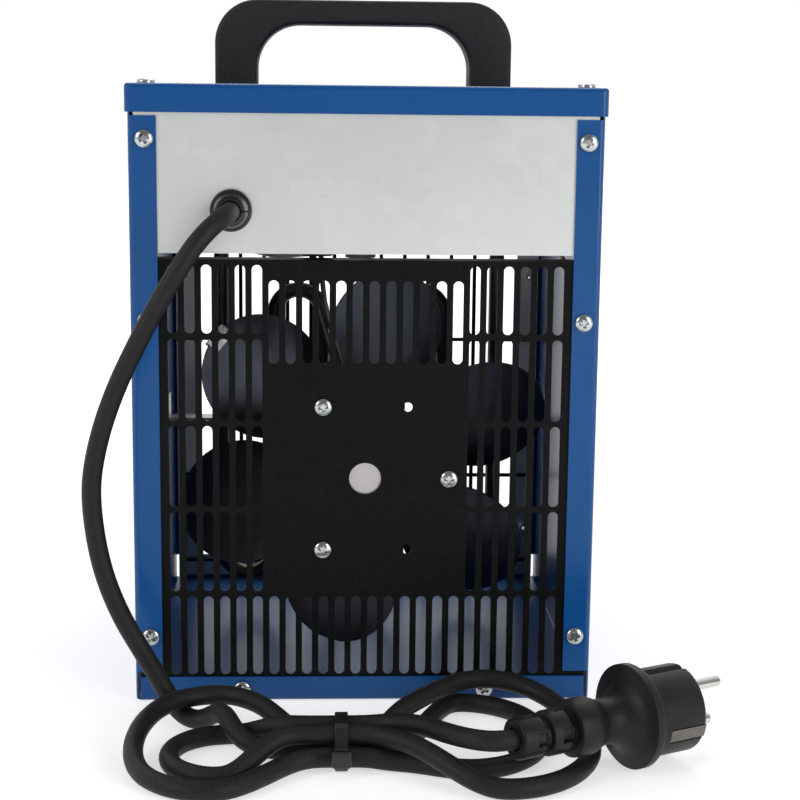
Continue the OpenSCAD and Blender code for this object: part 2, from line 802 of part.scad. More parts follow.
module control_panel() color(black)
  upright(front_plane - sheet, sheet) difference() {
    translate([-panel_half_w, duct_h + lap]) square([2 * panel_half_w, wall_top - sheet - 2 * lap - duct_h]);
    for (x = [-1, 1]) translate([x * control_x, control_z]) circle(spindle_r + 1, $fn = smooth);
    translate([0, control_z]) circle(lamp_r + lap, $fn = smooth);
    holes([for (p = side_screw_places) if (p[1] > guard_top) p], screw_d + 2 * thread_gap);
  }

panel_back = front_plane - sheet;
knob_y = front_plane + knob_gap;

module selector_switch() color(cream) difference() {
  translate([-control_x - switch_size[0] / 2, panel_back - switch_size[1] - lap, control_z - switch_size[2] / 2])
    cube(switch_size);
  frontward(-control_x, panel_back - 14, control_z) cylinder(r = spindle_r + run_gap, h = 16, $fn = smooth);
}

module spindle(x)
  frontward(x, panel_back - 13.5, control_z) cylinder(r = spindle_r, h = 13.5 + sheet + knob_gap + 9, $fn = smooth);

module selector_spindle() color(steel) spindle(-control_x);

module thermostat_spindle() color(steel) spindle(control_x);

// Round knob with a grip bar and a pointer line
module knob(x)
  frontward(x, knob_y, control_z) difference() {
    union() {
      cylinder(d = knob_d, h = knob_l * 0.3, $fn = smooth);
      cylinder(d = knob_d * 0.78, h = knob_l * 0.5, $fn = smooth);
      translate([-knob_d * 0.12, -knob_d * 0.44, 0]) cube([knob_d * 0.24, knob_d * 0.88, knob_l]);
    }
    translate([0, 0, -1]) cylinder(r = spindle_r + thread_gap, h = 10.1, $fn = smooth);
    translate([-0.5, -knob_d / 2, knob_l - 0.8]) cube([1, knob_d * 0.3, 1]);
  }

module selector_knob() color(black) knob(-control_x);

module thermostat_knob() color(black) knob(control_x);

module thermostat_body() color(galvanised) difference() {
  union() {
    frontward(control_x, panel_back - stat_l - lap, control_z) cylinder(r = stat_r, h = stat_l, $fn = smooth);
    translate([control_x - 9, panel_back - stat_l - lap - 8, control_z - 12]) cube([18, 8, 24]);
  }
  frontward(control_x, panel_back - 14, control_z) cylinder(r = spindle_r + run_gap, h = 16, $fn = smooth);
}

// Capillary and bulb of the thermostat: the bulb stands by the right wall in the air that comes in
bulb_x = inner_half_w - 6;
bulb_y = -58;
capillary_y = -20;
module capillary_bulb() color(copper) {
  translate([bulb_x, bulb_y, duct_h - 20 - bulb_l]) cylinder(r = bulb_r, h = bulb_l, $fn = smooth);
  tube([
    [bulb_x, bulb_y, duct_h - 21],
    [bulb_x, bulb_y + 2, duct_h - 14],
    [bulb_x - 1, bulb_y + 18, duct_h - 7],
    [bulb_x - 2, capillary_y - 4, duct_h - 4],
    [bulb_x - 2, capillary_y, duct_h - 1],
    [bulb_x - 2, capillary_y, duct_h + 3],
    [bulb_x - 4, capillary_y + 6, duct_h + 14],
    [control_x + 36, 12, control_z - 14],
    [control_x + 14, panel_back - stat_l - 26, control_z - 5],
    [control_x + 1, panel_back - stat_l - 14, control_z],
    [control_x, panel_back - stat_l - 11, control_z],
    [control_x, panel_back - stat_l - 8.2 - lap, control_z]
  ], 1, wire_sides);
}

module pilot_lamp_body() color(black)
  frontward(0, panel_back - 16, control_z) difference() {
    cylinder(r = lamp_r + 2, h = 16 - lap, $fn = smooth);
    translate([0, 0, 12]) cylinder(r = lamp_r - 1 + lap, h = 6, $fn = smooth);
  }

module pilot_lamp_lens() color(amber)
  frontward(0, panel_back - 3.8, control_z) {
    cylinder(r = lamp_r - 1, h = 4, $fn = smooth);
    translate([0, 0, 3.8]) cylinder(r = lamp_r, h = sheet + 2.2, $fn = smooth);
    translate([0, 0, 5.8 + sheet]) cylinder(r1 = lamp_r, r2 = lamp_r * 0.6, h = 1.6, $fn = smooth);
  }

// Wiring in the control tray

module terminal_block() color(cream) difference() {
  translate([gland_x - block_w / 2, block_y, duct_h + sheet + lap]) cube([block_w, block_d, block_h]);
  for (k = [-1:1])
    translate([gland_x + k * 11, block_y + block_d / 2, duct_h + sheet + lap + block_h - 8])
      cylinder(r = 2.6, h = 9, $fn = smooth);
  rearward(gland_x, block_y + 3, gland_z) cylinder(r = cord_r + lap, h = 4, $fn = smooth);
}

module terminal_screws() color(brass)
  for (k = [-1:1])
    translate([gland_x + k * 11, block_y + block_d / 2, duct_h + sheet + 2 * lap + block_h - 8]) difference() {
      cylinder(r = 2.5, h = 5, $fn = smooth);
      translate([-3, -0.4, 4]) cube([6, 0.8, 2]);
    }

module switch_wires() color([0.45, 0.24, 0.12])
  for (k = [-1, 1])
    tube([
      [gland_x + k * 11, block_y + block_d + lap, duct_h + wire_rise],
      [gland_x + k * 11, block_y + block_d + 14, duct_h + wire_rise + 1],
      [gland_x + k * 9, block_y + block_d + 40, duct_h + wire_rise - 2],
      [-control_x + k * 8, panel_back - switch_size[1] - 28, control_z - 14],
      [-control_x + k * 8, panel_back - switch_size[1] - 12, control_z - 8],
      [-control_x + k * 8, panel_back - switch_size[1] - 2 * lap, control_z - 7]
    ], wire_r, wire_sides);

module wire_grommet() color(rubber)
  translate([grommet_x, grommet_y, duct_h - 2]) difference() {
    union() {
      cylinder(r = grommet_r, h = sheet + 4, $fn = smooth);
      cylinder(r = grommet_r + 2, h = 2 - lap, $fn = smooth);
      translate([0, 0, 2 + sheet + lap]) cylinder(r = grommet_r + 2, h = 2 - lap, $fn = smooth);
    }
    translate([0, 0, -1]) cylinder(r = grommet_r - 1.5, h = sheet + 6, $fn = smooth);
  }

// Two wires from the terminal block through the grommet to the motor
module motor_wires() color(black)
  for (k = [-1.7, 1.7])
    tube([
      [gland_x + block_w / 2 + lap, block_y + 8, duct_h + 7 + k],
      [gland_x + block_w / 2 + 8, block_y + 7, duct_h + 7.5 + k],
      [grommet_x - 5, grommet_y + 2, duct_h + 8 + k],
      [grommet_x + k, grommet_y, duct_h + 3],
      [grommet_x + k, grommet_y, duct_h - 8],
      [grommet_x + 2 + k, grommet_y, axis_z + motor_r + 44],
      [grommet_x + 11 + k, grommet_y, axis_z + motor_r + 14],
      [grommet_x + 16 + k, grommet_y, axis_z + motor_r + 0.5]
    ], wire_r, wire_sides);

earth_x = gland_x + 62;
earth_y = block_y + 4;
earth_d = 3.4;
module earth_screw() color(brass)
  translate([earth_x, earth_y, duct_h + sheet]) screw(7, 2.2, earth_d, sheet + 2);

// Lead through the wall to the terminal block
module inner_lead() color(rubber)
  rearward(gland_x, block_y - 0.1, gland_z) cylinder(r = cord_r, h = block_y - 0.1 - drop_start[1], $fn = smooth);

module cord_gland() color(black)
  rearward(gland_x, rear_plane, gland_z) difference() {
    union() {
      cylinder(d = gland_d, h = 3, $fn = smooth);
      translate([0, 0, 3]) cylinder(d1 = gland_d - 1.5, d2 = gland_d - 5, h = gland_out - 3, $fn = smooth);
      translate([0, 0, -sheet - 5]) cylinder(r = gland_neck_r, h = sheet + 6, $fn = smooth);
    }
    translate([0, 0, -sheet - 6]) cylinder(r = cord_r + run_gap, h = gland_out + sheet + 8, $fn = smooth);
  }

module gland_lock() color(black)
  frontward(gland_x, rear_plane + sheet + 0.1, gland_z) difference() {
    cylinder(r = gland_neck_r + 4, h = 4, $fn = 6);
    translate([0, 0, -1]) cylinder(r = gland_neck_r + run_gap, h = 6, $fn = smooth);
  }

// Mains lead

// Smooth step from 0 to 1
function ease(t) = (1 - cos(180 * max(0, min(1, t)))) / 2;

// One strand's place under the tie
function tie_place(k) = [
  tie_y + tie_places[k][0] * strand,
  tie_places[k][1] == 0 ? low_z : high_z
];

// Height of end loop j at angle a, from 90 on its far side to -90 on its near side
function loop_z(j, a) =
  let (loop = end_loops[j])
    loop[5] + (loop[4] - loop[5]) * ease(j % 2 == 0 ? a / 90 : (a + 40) / 100);

// A run between the tie and a loop's side: f goes from 0 at the tie to 1 at the loop
function run_point(k, j, far, f) =
  let (
    loop = end_loops[j],
    side = loop[0] > tie_x ? 1 : -1,
    x0 = tie_x + side * tie_run,
    place = tie_place(k),
    y1 = far ? loop[2] : loop[3],
    z1 = far ? loop[4] : loop[5],
    climb = z1 > place[1] || place[1] == low_z ? loop[7] * f : (f - high_share) / (1 - high_share)
  )
    [
      x0 + (loop[0] - x0) * f,
      place[0] + (y1 - place[0]) * ease(pow(f, loop[6])),
      place[1] + (z1 - place[1]) * ease(climb)
    ];

function end_point(j, a) =
  let (loop = end_loops[j], side = loop[0] > tie_x ? 1 : -1)
    [
      loop[0] + side * loop[1] * cos(a),
      (loop[2] + loop[3]) / 2 + (loop[2] - loop[3]) / 2 * sin(a),
      loop_z(j, a)
    ];

// End loop j joins strand j to strand j + 1. Right loops run from far to near, left ones back
function loop_points(j, fine) =
  let (
    n = rings_per_run * fine,
    m = rings_per_end * fine,
    right = j % 2 == 0
  )
    concat(
      [for (i = [0:n]) run_point(j, j, right, (i / n + sin(90 * i / n)) / 2)],
      [for (i = [1:m - 1]) end_point(j, (right ? 1 : -1) * (90 - 180 * i / m))],
      [for (i = [n:-1:0]) run_point(j + 1, j, !right, (i / n + sin(90 * i / n)) / 2)]
    );

function strand_end(k, side) = [tie_x + side * tie_run, tie_place(k)[0], tie_place(k)[1]];

function hank_points(fine) = concat(
  [strand_end(0, -1)],
  [for (j = [0:3]) each loop_points(j, fine)],
  [strand_end(4, 1)]
);

// Points that divide each stretch between two rings into n
function divided(p, n) = [for (i = [0:len(p) - 2], k = [0:n - 1]) p[i] + (p[i + 1] - p[i]) * k / n];

// Least distance between the surfaces of stretches of the hank that aren't neighbours
function hank_gap(p, skip) =
  min([
    for (i = [0:len(p) - 1])
      min(concat([1000], [for (j = [i + skip:1:len(p) - 1]) norm(p[i] - p[j])]))
  ]) - cord_d;

echo(hank_least_gap_mm = hank_gap(divided(hank_points(1), 6), 14));

module cord_drop() color(rubber) tube(drop_points, cord_r, cord_sides);

module cord_hank() color(rubber) tube(hank_points(1), cord_r, cord_sides);

module cord_lead() color(rubber) tube(lead_points, cord_r, cord_sides);

// The strap goes round the five strands and through its head on the near side
module tie_outline(grow) {
  r = cord_r + tie_gap + grow;
  hull() {
    for (k = [0:4]) translate([tie_place(k)[0], tie_place(k)[1]]) circle(r, $fn = 24);
  }
}

module cable_tie() color(black) {
  translate([tie_x - tie_w / 2, 0, 0]) rotate([90, 0, 90]) linear_extrude(tie_w) difference() {
    tie_outline(tie_t);
    tie_outline(0);
  }
  translate([tie_x - 4.2, tie_y - strand - cord_r - 6.6, 5]) cube([8.4, 6, 7]);
}

// Plug

module at_plug()
  translate(plug_tail) rotate([0, 0, plug_turn]) rotate([0, 90, 0]) rotate([0, 0, plug_roll]) children();

module plug_body() color(rubber) at_plug() difference() {
  rotate_extrude($fn = smooth) polygon([
    [0, 0], [8.6, 0], [8.6, 11], [6.6, 11], [6.6, 14], [9.4, 14], [9.4, 23], [7.2, 23], [7.2, 26],
    [12, 26], [12, 36], [9.6, 40], [9.6, 45], [13, 51], [plug_flange_d / 2, 56],
    [plug_flange_d / 2, 60], [plug_body_d / 2, 62], [plug_body_d / 2, plug_len], [0, plug_len]
  ]);
  translate([0, 0, -1]) cylinder(r = cord_r + run_gap, h = 7, $fn = smooth);
  // Holes for the pins
  for (x = [-1, 1])
    translate([x * pin_apart / 2, 0, plug_len - pin_root_l])
      cylinder(d = pin_root_d + 2 * run_gap, h = pin_root_l + 1, $fn = smooth);
  // Guide grooves in line with the pins
  for (x = [-1, 1])
    translate([x * (plug_body_d / 2 + 1.4), 0, plug_len - 20]) rotate([0, 0, 45]) cube([5, 5, 50], center = false);
  // Seats of the earth contacts
  for (y = [-1, 1])
    translate([-3, y * (plug_body_d / 2 - 0.6) - 1, plug_len - 18]) cube([6, 2, 19]);
}

module plug_pins() color(steel) at_plug()
  for (x = [-1, 1])
    translate([x * pin_apart / 2, 0, plug_len]) {
      translate([0, 0, -pin_root_l]) cylinder(d = pin_root_d, h = pin_root_l + pin_root_out, $fn = smooth);
      translate([0, 0, pin_root_out]) cylinder(d = pin_d, h = pin_l - 1.5 - pin_root_out, $fn = smooth);
      translate([0, 0, pin_l - 1.5]) cylinder(d1 = pin_d, d2 = pin_d * 0.5, h = 1.5, $fn = smooth);
    }

module plug_earth_contacts() color(steel) at_plug()
  for (y = [-1, 1])
    translate([-2.8, y * (plug_body_d / 2 - 0.9) - 0.5, plug_len - 17.8]) cube([5.6, 1, 17.8]);

housing_wrap();
lid();
lid_screws();
handle();
handle_screws();
rear_grille();
control_tray();
rear_screws();
base_screws();
motor_screws();
motor_can();
motor_end_bell();
stator_core();
stator_windings();
rear_bearing();
front_bearing();
rotor_core();
motor_shaft();
fan_hub();
fan_blades();
fan_nut();
balance_clip();
heating_element();
element_nuts();
element_studs();
element_rail();
thermal_cutout();
cutout_wires();
guard_frame();
guard_wires();
control_panel();
front_screws();
selector_switch();
selector_spindle();
selector_knob();
thermostat_body();
thermostat_spindle();
thermostat_knob();
capillary_bulb();
pilot_lamp_body();
pilot_lamp_lens();
terminal_block();
terminal_screws();
switch_wires();
motor_wires();
wire_grommet();
earth_screw();
inner_lead();
cord_gland();
gland_lock();
cord_drop();
cord_hank();
cord_lead();
cable_tie();
plug_body();
plug_pins();
plug_earth_contacts();
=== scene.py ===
# %% [markdown]
# # Dressing the fan heater
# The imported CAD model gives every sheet, screw and wire its exact place. This script
# keeps those places and adds what the eye expects: powder coat, zinc, rubber, rounded
# plastic and a supple mains lead. All lengths below are in millimetres, as on the
# drawing, and the helper `mm` turns them into Blender's metres.

import math
import random

import bmesh
import bpy
import numpy as np
from mathutils import Matrix, Vector


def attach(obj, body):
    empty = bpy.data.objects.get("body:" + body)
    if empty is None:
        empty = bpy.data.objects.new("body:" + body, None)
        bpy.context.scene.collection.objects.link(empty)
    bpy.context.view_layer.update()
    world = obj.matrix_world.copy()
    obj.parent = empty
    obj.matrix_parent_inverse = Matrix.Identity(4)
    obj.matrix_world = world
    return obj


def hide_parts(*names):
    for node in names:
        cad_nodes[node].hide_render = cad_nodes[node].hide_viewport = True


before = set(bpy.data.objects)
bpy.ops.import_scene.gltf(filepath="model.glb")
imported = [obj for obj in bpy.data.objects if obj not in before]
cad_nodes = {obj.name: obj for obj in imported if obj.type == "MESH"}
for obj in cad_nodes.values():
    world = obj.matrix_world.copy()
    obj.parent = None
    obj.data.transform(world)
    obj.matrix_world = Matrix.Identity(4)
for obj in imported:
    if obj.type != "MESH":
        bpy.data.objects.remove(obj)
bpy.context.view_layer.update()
dice = random.Random(7)


def mm(point):
    return Vector([value / 1000 for value in point])


# %% [markdown]
# ## The camera
# The photograph shows the rear of the heater, from a little above. Its camera was found
# from the known sizes of the case, the plug pins and the screws. Blender's camera looks
# along its own -Z, so the three columns of its matrix are the picture's right, the
# picture's up and the way back.

# %% Camera at the photographer's place
eye_place = (-18.358, -864.633, 273.252)
eye_yaw, eye_pitch, eye_roll = 0.04449, 0.17141, -0.0111
focal_pixels, picture_pixels = 1712.08, 800

ahead = Vector((
    math.sin(eye_yaw) * math.cos(eye_pitch),
    math.cos(eye_yaw) * math.cos(eye_pitch),
    -math.sin(eye_pitch),
))
level_right = Vector((math.cos(eye_yaw), -math.sin(eye_yaw), 0))
level_down = ahead.cross(level_right)
right = math.cos(eye_roll) * level_right + math.sin(eye_roll) * level_down
down = -math.sin(eye_roll) * level_right + math.cos(eye_roll) * level_down

lens = bpy.data.cameras.new("camera")
lens.sensor_width = 36
lens.lens = 36 * focal_pixels / picture_pixels
lens.clip_start, lens.clip_end = 0.05, 50
camera = bpy.data.objects.new("camera", lens)
turn = Matrix((right, -down, -ahead)).transposed().to_4x4()
camera.matrix_world = Matrix.Translation(mm(eye_place)) @ turn
bpy.context.scene.collection.objects.link(camera)
bpy.context.scene.camera = camera
print("lens:", round(lens.lens, 1), "mm")

# %% [markdown]
# ## Making pieces
# Every piece below is a list of corners and faces that a small function works out. A
# function that turns such a list into a Blender object keeps the later cells short: it
# names the piece, rounds its shading, lets it ride on its body and says which CAD node
# it stands for.


# %% One function turns corners and faces into a piece
def piece(name, corners, faces, material, slot, body="case", stands_for=(), sharp=35):
    mesh = bpy.data.meshes.new(name)
    mesh.from_pydata([mm(c) for c in corners], [], faces)
    work = bmesh.new()
    work.from_mesh(mesh)
    bmesh.ops.remove_doubles(work, verts=work.verts, dist=1e-6)
    bmesh.ops.recalc_face_normals(work, faces=work.faces)
    work.to_mesh(mesh)
    work.free()
    mesh.shade_smooth()
    mesh.set_sharp_from_angle(angle=math.radians(sharp))
    thing = bpy.data.objects.new(name, mesh)
    bpy.context.scene.collection.objects.link(thing)
    thing.data.materials.append(material)
    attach(thing, body)
    if stands_for:
        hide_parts(*stands_for)
    return thing


# %% Turned shapes: an outline spun round its axis
def turned(outline, steps=64, carve=None):
    """Corners and faces of an outline of (radius, height) points. carve(radius, angle,
    height) may give a smaller radius, as for notches."""
    corners, faces = [], []
    for radius, height in outline:
        for i in range(steps):
            angle = 2 * math.pi * i / steps
            r = carve(radius, angle, height) if carve else radius
            corners.append((r * math.cos(angle), r * math.sin(angle), height))
    for ring in range(len(outline) - 1):
        for i in range(steps):
            a, b = ring * steps + i, ring * steps + (i + 1) % steps
            faces.append((a, b, b + steps, a + steps))
    if outline[0][0] > 0.001:
        faces.append(tuple(range(steps - 1, -1, -1)))
    if outline[-1][0] > 0.001:
        last = (len(outline) - 1) * steps
        faces.append(tuple(range(last, last + steps)))
    return corners, faces


def merged(parts):
    """Several lists of corners and faces as one."""
    corners, faces = [], []
    for part_corners, part_faces in parts:
        shift = len(corners)
        corners += list(part_corners)
        faces += [tuple(i + shift for i in face) for face in part_faces]
    return corners, faces


def moved(part, way):
    """A part with way(point) applied to each corner."""
    return [way(c) for c in part[0]], part[1]


# %% [markdown]
# ## Shader node groups
# Paint, zinc, rubber and plastic differ in colour, but they share the same small faults:
# a fine grain, soft patches where the finish is a little thicker, dust that settles on
# what faces up, and fine lines left by a tool. Each fault is a node group, built once.
# The materials place it with their own sizes. Pictures wrapped round the piece would
# also do, but a pattern worked out in space needs no unwrapping and has no seams.


# %% An empty group with named sockets
def new_group(name, takes, gives):
    tree = bpy.data.node_groups.new(name, "ShaderNodeTree")
    for label, value in takes.items():
        socket = tree.interface.new_socket(
            label, in_out="INPUT", socket_type="NodeSocketFloat"
        )
        socket.default_value = value
    for label in gives:
        kind = "NodeSocketVector" if label == "Normal" else "NodeSocketFloat"
        tree.interface.new_socket(label, in_out="OUTPUT", socket_type=kind)
    return tree, tree.nodes.new("NodeGroupInput"), tree.nodes.new("NodeGroupOutput")


def add(tree, kind, links=(), **settings):
    """A node with its settings made and its inputs linked or filled."""
    node = tree.nodes.new(kind)
    for key, value in settings.items():
        setattr(node, key, value)
    for socket, value in dict(links).items():
        if isinstance(value, bpy.types.NodeSocket):
            tree.links.new(value, node.inputs[socket])
        else:
            node.inputs[socket].default_value = value
    return node


# %% Grain and patches: the skin of paint, rubber and moulded plastic
def per_metre(tree, size_in_mm):
    """A noise scale from the size of its features in millimetres."""
    links = {0: 1000.0, 1: size_in_mm}
    return add(tree, "ShaderNodeMath", links, operation="DIVIDE").outputs[0]


skin, given, result = new_group("skin", {"Grain mm": 1, "Patch mm": 40}, ["Grain", "Patch"])
place = add(skin, "ShaderNodeTexCoord").outputs["Object"]
for label, detail in (("Grain", 3.0), ("Patch", 2.0)):
    noise = add(skin, "ShaderNodeTexNoise", {
        "Vector": place, "Scale": per_metre(skin, given.outputs[label + " mm"]),
        "Detail": detail,
    })
    spread = add(skin, "ShaderNodeMapRange", {
        "Value": noise.outputs["Fac"], "From Min": 0.2, "From Max": 0.8,
    })
    skin.links.new(spread.outputs[0], result.inputs[label])
print("group:", skin.name)

# %% Dust: more on what faces up, broken by specks
dust, given, result = new_group("dust", {"Amount": 0.2, "Speck mm": 2}, ["Mask"])
place = add(dust, "ShaderNodeTexCoord").outputs["Object"]
surface_way = add(dust, "ShaderNodeNewGeometry").outputs["Normal"]
facing = add(dust, "ShaderNodeSeparateXYZ", {0: surface_way})
upward = add(dust, "ShaderNodeMapRange", {
    "Value": facing.outputs["Z"], "From Min": -0.2, "From Max": 1, "To Min": 0.12, "To Max": 1,
})
specks = add(dust, "ShaderNodeTexNoise", {
    "Vector": place, "Scale": per_metre(dust, given.outputs["Speck mm"]), "Detail": 6.0,
})
sparse = add(dust, "ShaderNodeMapRange", {
    "Value": specks.outputs["Fac"], "From Min": 0.5, "From Max": 0.75,
})
settled = add(dust, "ShaderNodeMath", {
    0: upward.outputs[0], 1: sparse.outputs[0],
}, operation="MULTIPLY")
amount = add(dust, "ShaderNodeMath", {
    0: settled.outputs[0], 1: given.outputs["Amount"],
}, operation="MULTIPLY")
dust.links.new(amount.outputs[0], result.inputs["Mask"])
print("group:", dust.name)

# %% Spangle: the faint crystals of hot dipped zinc
spangle, given, result = new_group("spangle", {"Crystal mm": 9}, ["Tone", "Edge"])
waves_per_metre, edge_drift = 160.0, 0.004
place = add(spangle, "ShaderNodeTexCoord").outputs["Object"]
bent = add(spangle, "ShaderNodeTexNoise", {
    "Vector": place, "Scale": waves_per_metre, "Detail": 3.0,
})
drift = add(spangle, "ShaderNodeVectorMath", {0: bent.outputs["Color"]}, operation="SCALE")
drift.inputs["Scale"].default_value = edge_drift
moved_place = add(spangle, "ShaderNodeVectorMath", {
    0: place, 1: drift.outputs[0],
}, operation="ADD")
cells = add(spangle, "ShaderNodeTexVoronoi", {
    "Vector": moved_place.outputs[0], "Scale": per_metre(spangle, given.outputs["Crystal mm"]),
})
tone = add(spangle, "ShaderNodeSeparateColor", {0: cells.outputs["Color"]})
spangle.links.new(tone.outputs[0], result.inputs["Tone"])
spangle.links.new(cells.outputs["Distance"], result.inputs["Edge"])
print("group:", spangle.name)

# %% Drawn: fine lines along one axis, as left by rolling, drawing or brushing
drawn, given, result = new_group("drawn", {"Line mm": 0.4, "X": 1, "Y": 1, "Z": 1}, ["Line"])
place = add(drawn, "ShaderNodeTexCoord").outputs["Object"]
squeeze = add(drawn, "ShaderNodeCombineXYZ", {
    "X": given.outputs["X"], "Y": given.outputs["Y"], "Z": given.outputs["Z"],
})
long_place = add(drawn, "ShaderNodeVectorMath", {
    0: place, 1: squeeze.outputs[0],
}, operation="MULTIPLY")
lines = add(drawn, "ShaderNodeTexNoise", {
    "Vector": long_place.outputs[0], "Scale": per_metre(drawn, given.outputs["Line mm"]),
    "Detail": 2.0,
})
drawn.links.new(lines.outputs["Fac"], result.inputs["Line"])
print("group:", drawn.name)

# %% [markdown]
# ## Finishes
# All finishes start from one recipe: a colour that drifts between two near shades, a
# roughness that drifts with it, and a fine bump. A second function adds dust. What is
# special to one finish, such as zinc crystals, is added to it afterwards. Numbers that
# are the same all over go straight onto the Principled BSDF's own sockets.

# %% The recipe that all finishes share
finishes = {}


def tint(*codes):
    """A colour as a picture editor shows it, in the linear values that shaders use."""
    shares = [c / 255 for c in codes]
    return tuple(
        s / 12.92 if s <= 0.04045 else ((s + 0.055) / 1.055) ** 2.4 for s in shares
    ) + (1,)


def finish(slot, colour, other, rough, grain, bump, patch=35.0, **own):
    """A material with a drifting colour, roughness (low, high) and a bump in mm."""
    material = bpy.data.materials.new(slot)
    material.use_nodes = True
    tree = material.node_tree
    shader = tree.nodes["Principled BSDF"]
    for label, value in own.items():
        shader.inputs[label.replace("_", " ")].default_value = value
    surface = add(tree, "ShaderNodeGroup", node_tree=skin)
    surface.inputs["Grain mm"].default_value = grain
    surface.inputs["Patch mm"].default_value = patch
    blend = add(tree, "ShaderNodeMix", {6: colour, 7: other, 0: surface.outputs["Patch"]},
                data_type="RGBA", name="colour")
    tree.links.new(blend.outputs[2], shader.inputs["Base Color"])
    gloss = add(tree, "ShaderNodeMapRange", {
        "Value": surface.outputs["Patch"], "To Min": rough[0], "To Max": rough[1],
    }, name="gloss")
    tree.links.new(gloss.outputs[0], shader.inputs["Roughness"])
    relief = add(tree, "ShaderNodeBump", {
        "Height": surface.outputs["Grain"], "Distance": bump / 1000, "Strength": 1.0,
    }, name="relief")
    tree.links.new(relief.outputs[0], shader.inputs["Normal"])
    finishes[slot] = material
    return tree, shader


def over_colour(tree, shader, mask, colour, share=1.0):
    """Lays a colour over what the shader has, where the mask is high."""
    before = shader.inputs["Base Color"].links[0].from_socket
    part = add(tree, "ShaderNodeMath", {0: mask, 1: share}, operation="MULTIPLY", use_clamp=True)
    top = add(tree, "ShaderNodeMix", {0: part.outputs[0], 6: before, 7: colour}, data_type="RGBA")
    tree.links.new(top.outputs[2], shader.inputs["Base Color"])


def dusty(tree, shader, amount, speck, colour=tint(168, 160, 150)):
    node = add(tree, "ShaderNodeGroup", node_tree=dust)
    node.inputs["Amount"].default_value = amount
    node.inputs["Speck mm"].default_value = speck
    over_colour(tree, shader, node.outputs["Mask"], colour)


# %% [markdown]
# ### Powder coat and black paint
# The case is a blue powder coat. Powder melts in an oven into a satin skin with a
# faint orange peel about a millimetre across. The grille and guard have the same kind
# of coat in black.

# %% Painted sheet metal
tree, shader = finish(
    "case_paint", tint(2, 79, 145), tint(5, 84, 152), (0.26, 0.34), 1.3, 0.009,
    patch=60, Specular_IOR_Level=0.32, Coat_Weight=0.08, Coat_Roughness=0.12,
)
dusty(tree, shader, 0.06, 1.6)
tree, shader = finish(
    "black_paint", tint(5, 5, 6), tint(9, 9, 10), (0.34, 0.44), 1.0, 0.010,
    patch=30, Specular_IOR_Level=0.12,
)
dusty(tree, shader, 0.06, 1.2)
print("painted finishes:", list(finishes))

# %% [markdown]
# ### Zinc, steel and the other metals
# A metal shows its surroundings, so its look lies in the roughness and the fine bump.
# The tray and the guard's frame are galvanised sheet with faint crystals. The screws
# are plated and brighter.

# %% Galvanised sheet and plated screws
tree, shader = finish(
    "galvanised", tint(211, 214, 213), tint(219, 221, 219), (0.34, 0.44), 0.5, 0.001,
    patch=50, Metallic=1,
)
crystal = add(tree, "ShaderNodeGroup", node_tree=spangle)
over_colour(tree, shader, crystal.outputs["Tone"], tint(186, 190, 192), 0.16)
finish("zinc_screw", tint(168, 172, 174), tint(204, 207, 208), (0.16, 0.26), 0.35, 0.001,
       patch=3, Metallic=1)
print("zinc finishes made")

# %% Metals inside the case
inner_metals = {
    "motor_steel": (tint(182, 178, 177), tint(200, 196, 195), (0.34, 0.46), 0.6),
    "core_steel": (tint(92, 94, 98), tint(120, 121, 124), (0.40, 0.52), 0.4),
    "shaft_steel": (tint(186, 187, 188), tint(205, 206, 207), (0.18, 0.28), 0.3),
    "copper": (tint(176, 96, 58), tint(198, 118, 76), (0.26, 0.40), 0.5),
    "bronze": (tint(150, 108, 60), tint(170, 126, 74), (0.34, 0.46), 0.4),
    "brass": (tint(190, 158, 92), tint(208, 178, 112), (0.22, 0.34), 0.4),
    # fan_aluminium is a dark bluish grey: painted shade of the closed case interior, far darker
    # than the blades' own aluminium
    "fan_aluminium": (tint(72, 76, 88), tint(86, 90, 100), (0.30, 0.36), 0.8),
    "element_tube": (tint(78, 73, 72), tint(104, 96, 90), (0.36, 0.50), 0.6),
    "pin_nickel": (tint(208, 206, 200), tint(222, 221, 216), (0.14, 0.24), 0.4),
}
for slot, (colour, other, rough, grain) in inner_metals.items():
    tree, shader = finish(slot, colour, other, rough, grain, 0.0004, patch=12, Metallic=1)
    streak = add(tree, "ShaderNodeGroup", node_tree=drawn)
    streak.inputs["Z" if slot == "fan_aluminium" else "Y"].default_value = 0.06
    streak.inputs["Line mm"].default_value = 1.4 if slot == "fan_aluminium" else 0.5
    over_colour(tree, shader, streak.outputs["Line"], tint(90, 90, 92), 0.15)
print("metals:", len(inner_metals))

# %% The heating element darkens in a pattern where it glows
tree = finishes["element_tube"].node_tree
shader = tree.nodes["Principled BSDF"]
warm = add(tree, "ShaderNodeGroup", node_tree=skin)
warm.inputs["Patch mm"].default_value = 22
over_colour(tree, shader, warm.outputs["Patch"], tint(92, 74, 84), 0.45)

# %% The windings are lacquered copper wire, laid in turns
tree = finishes["copper"].node_tree
shader = tree.nodes["Principled BSDF"]
turns = add(tree, "ShaderNodeTexWave", {
    "Vector": add(tree, "ShaderNodeTexCoord").outputs["Object"], "Scale": 520.0,
    "Distortion": 0.6,
}, bands_direction="Y")
tree.links.new(turns.outputs["Fac"], tree.nodes["relief"].inputs["Height"])
tree.nodes["relief"].inputs["Distance"].default_value = 0.00012

# %% [markdown]
# ### Rubber and plastic
# The lead and the plug are matt black rubber with a fine, slightly dusty grain. The
# handle is a harder plastic with a spark eroded texture, and the gland is glossy.

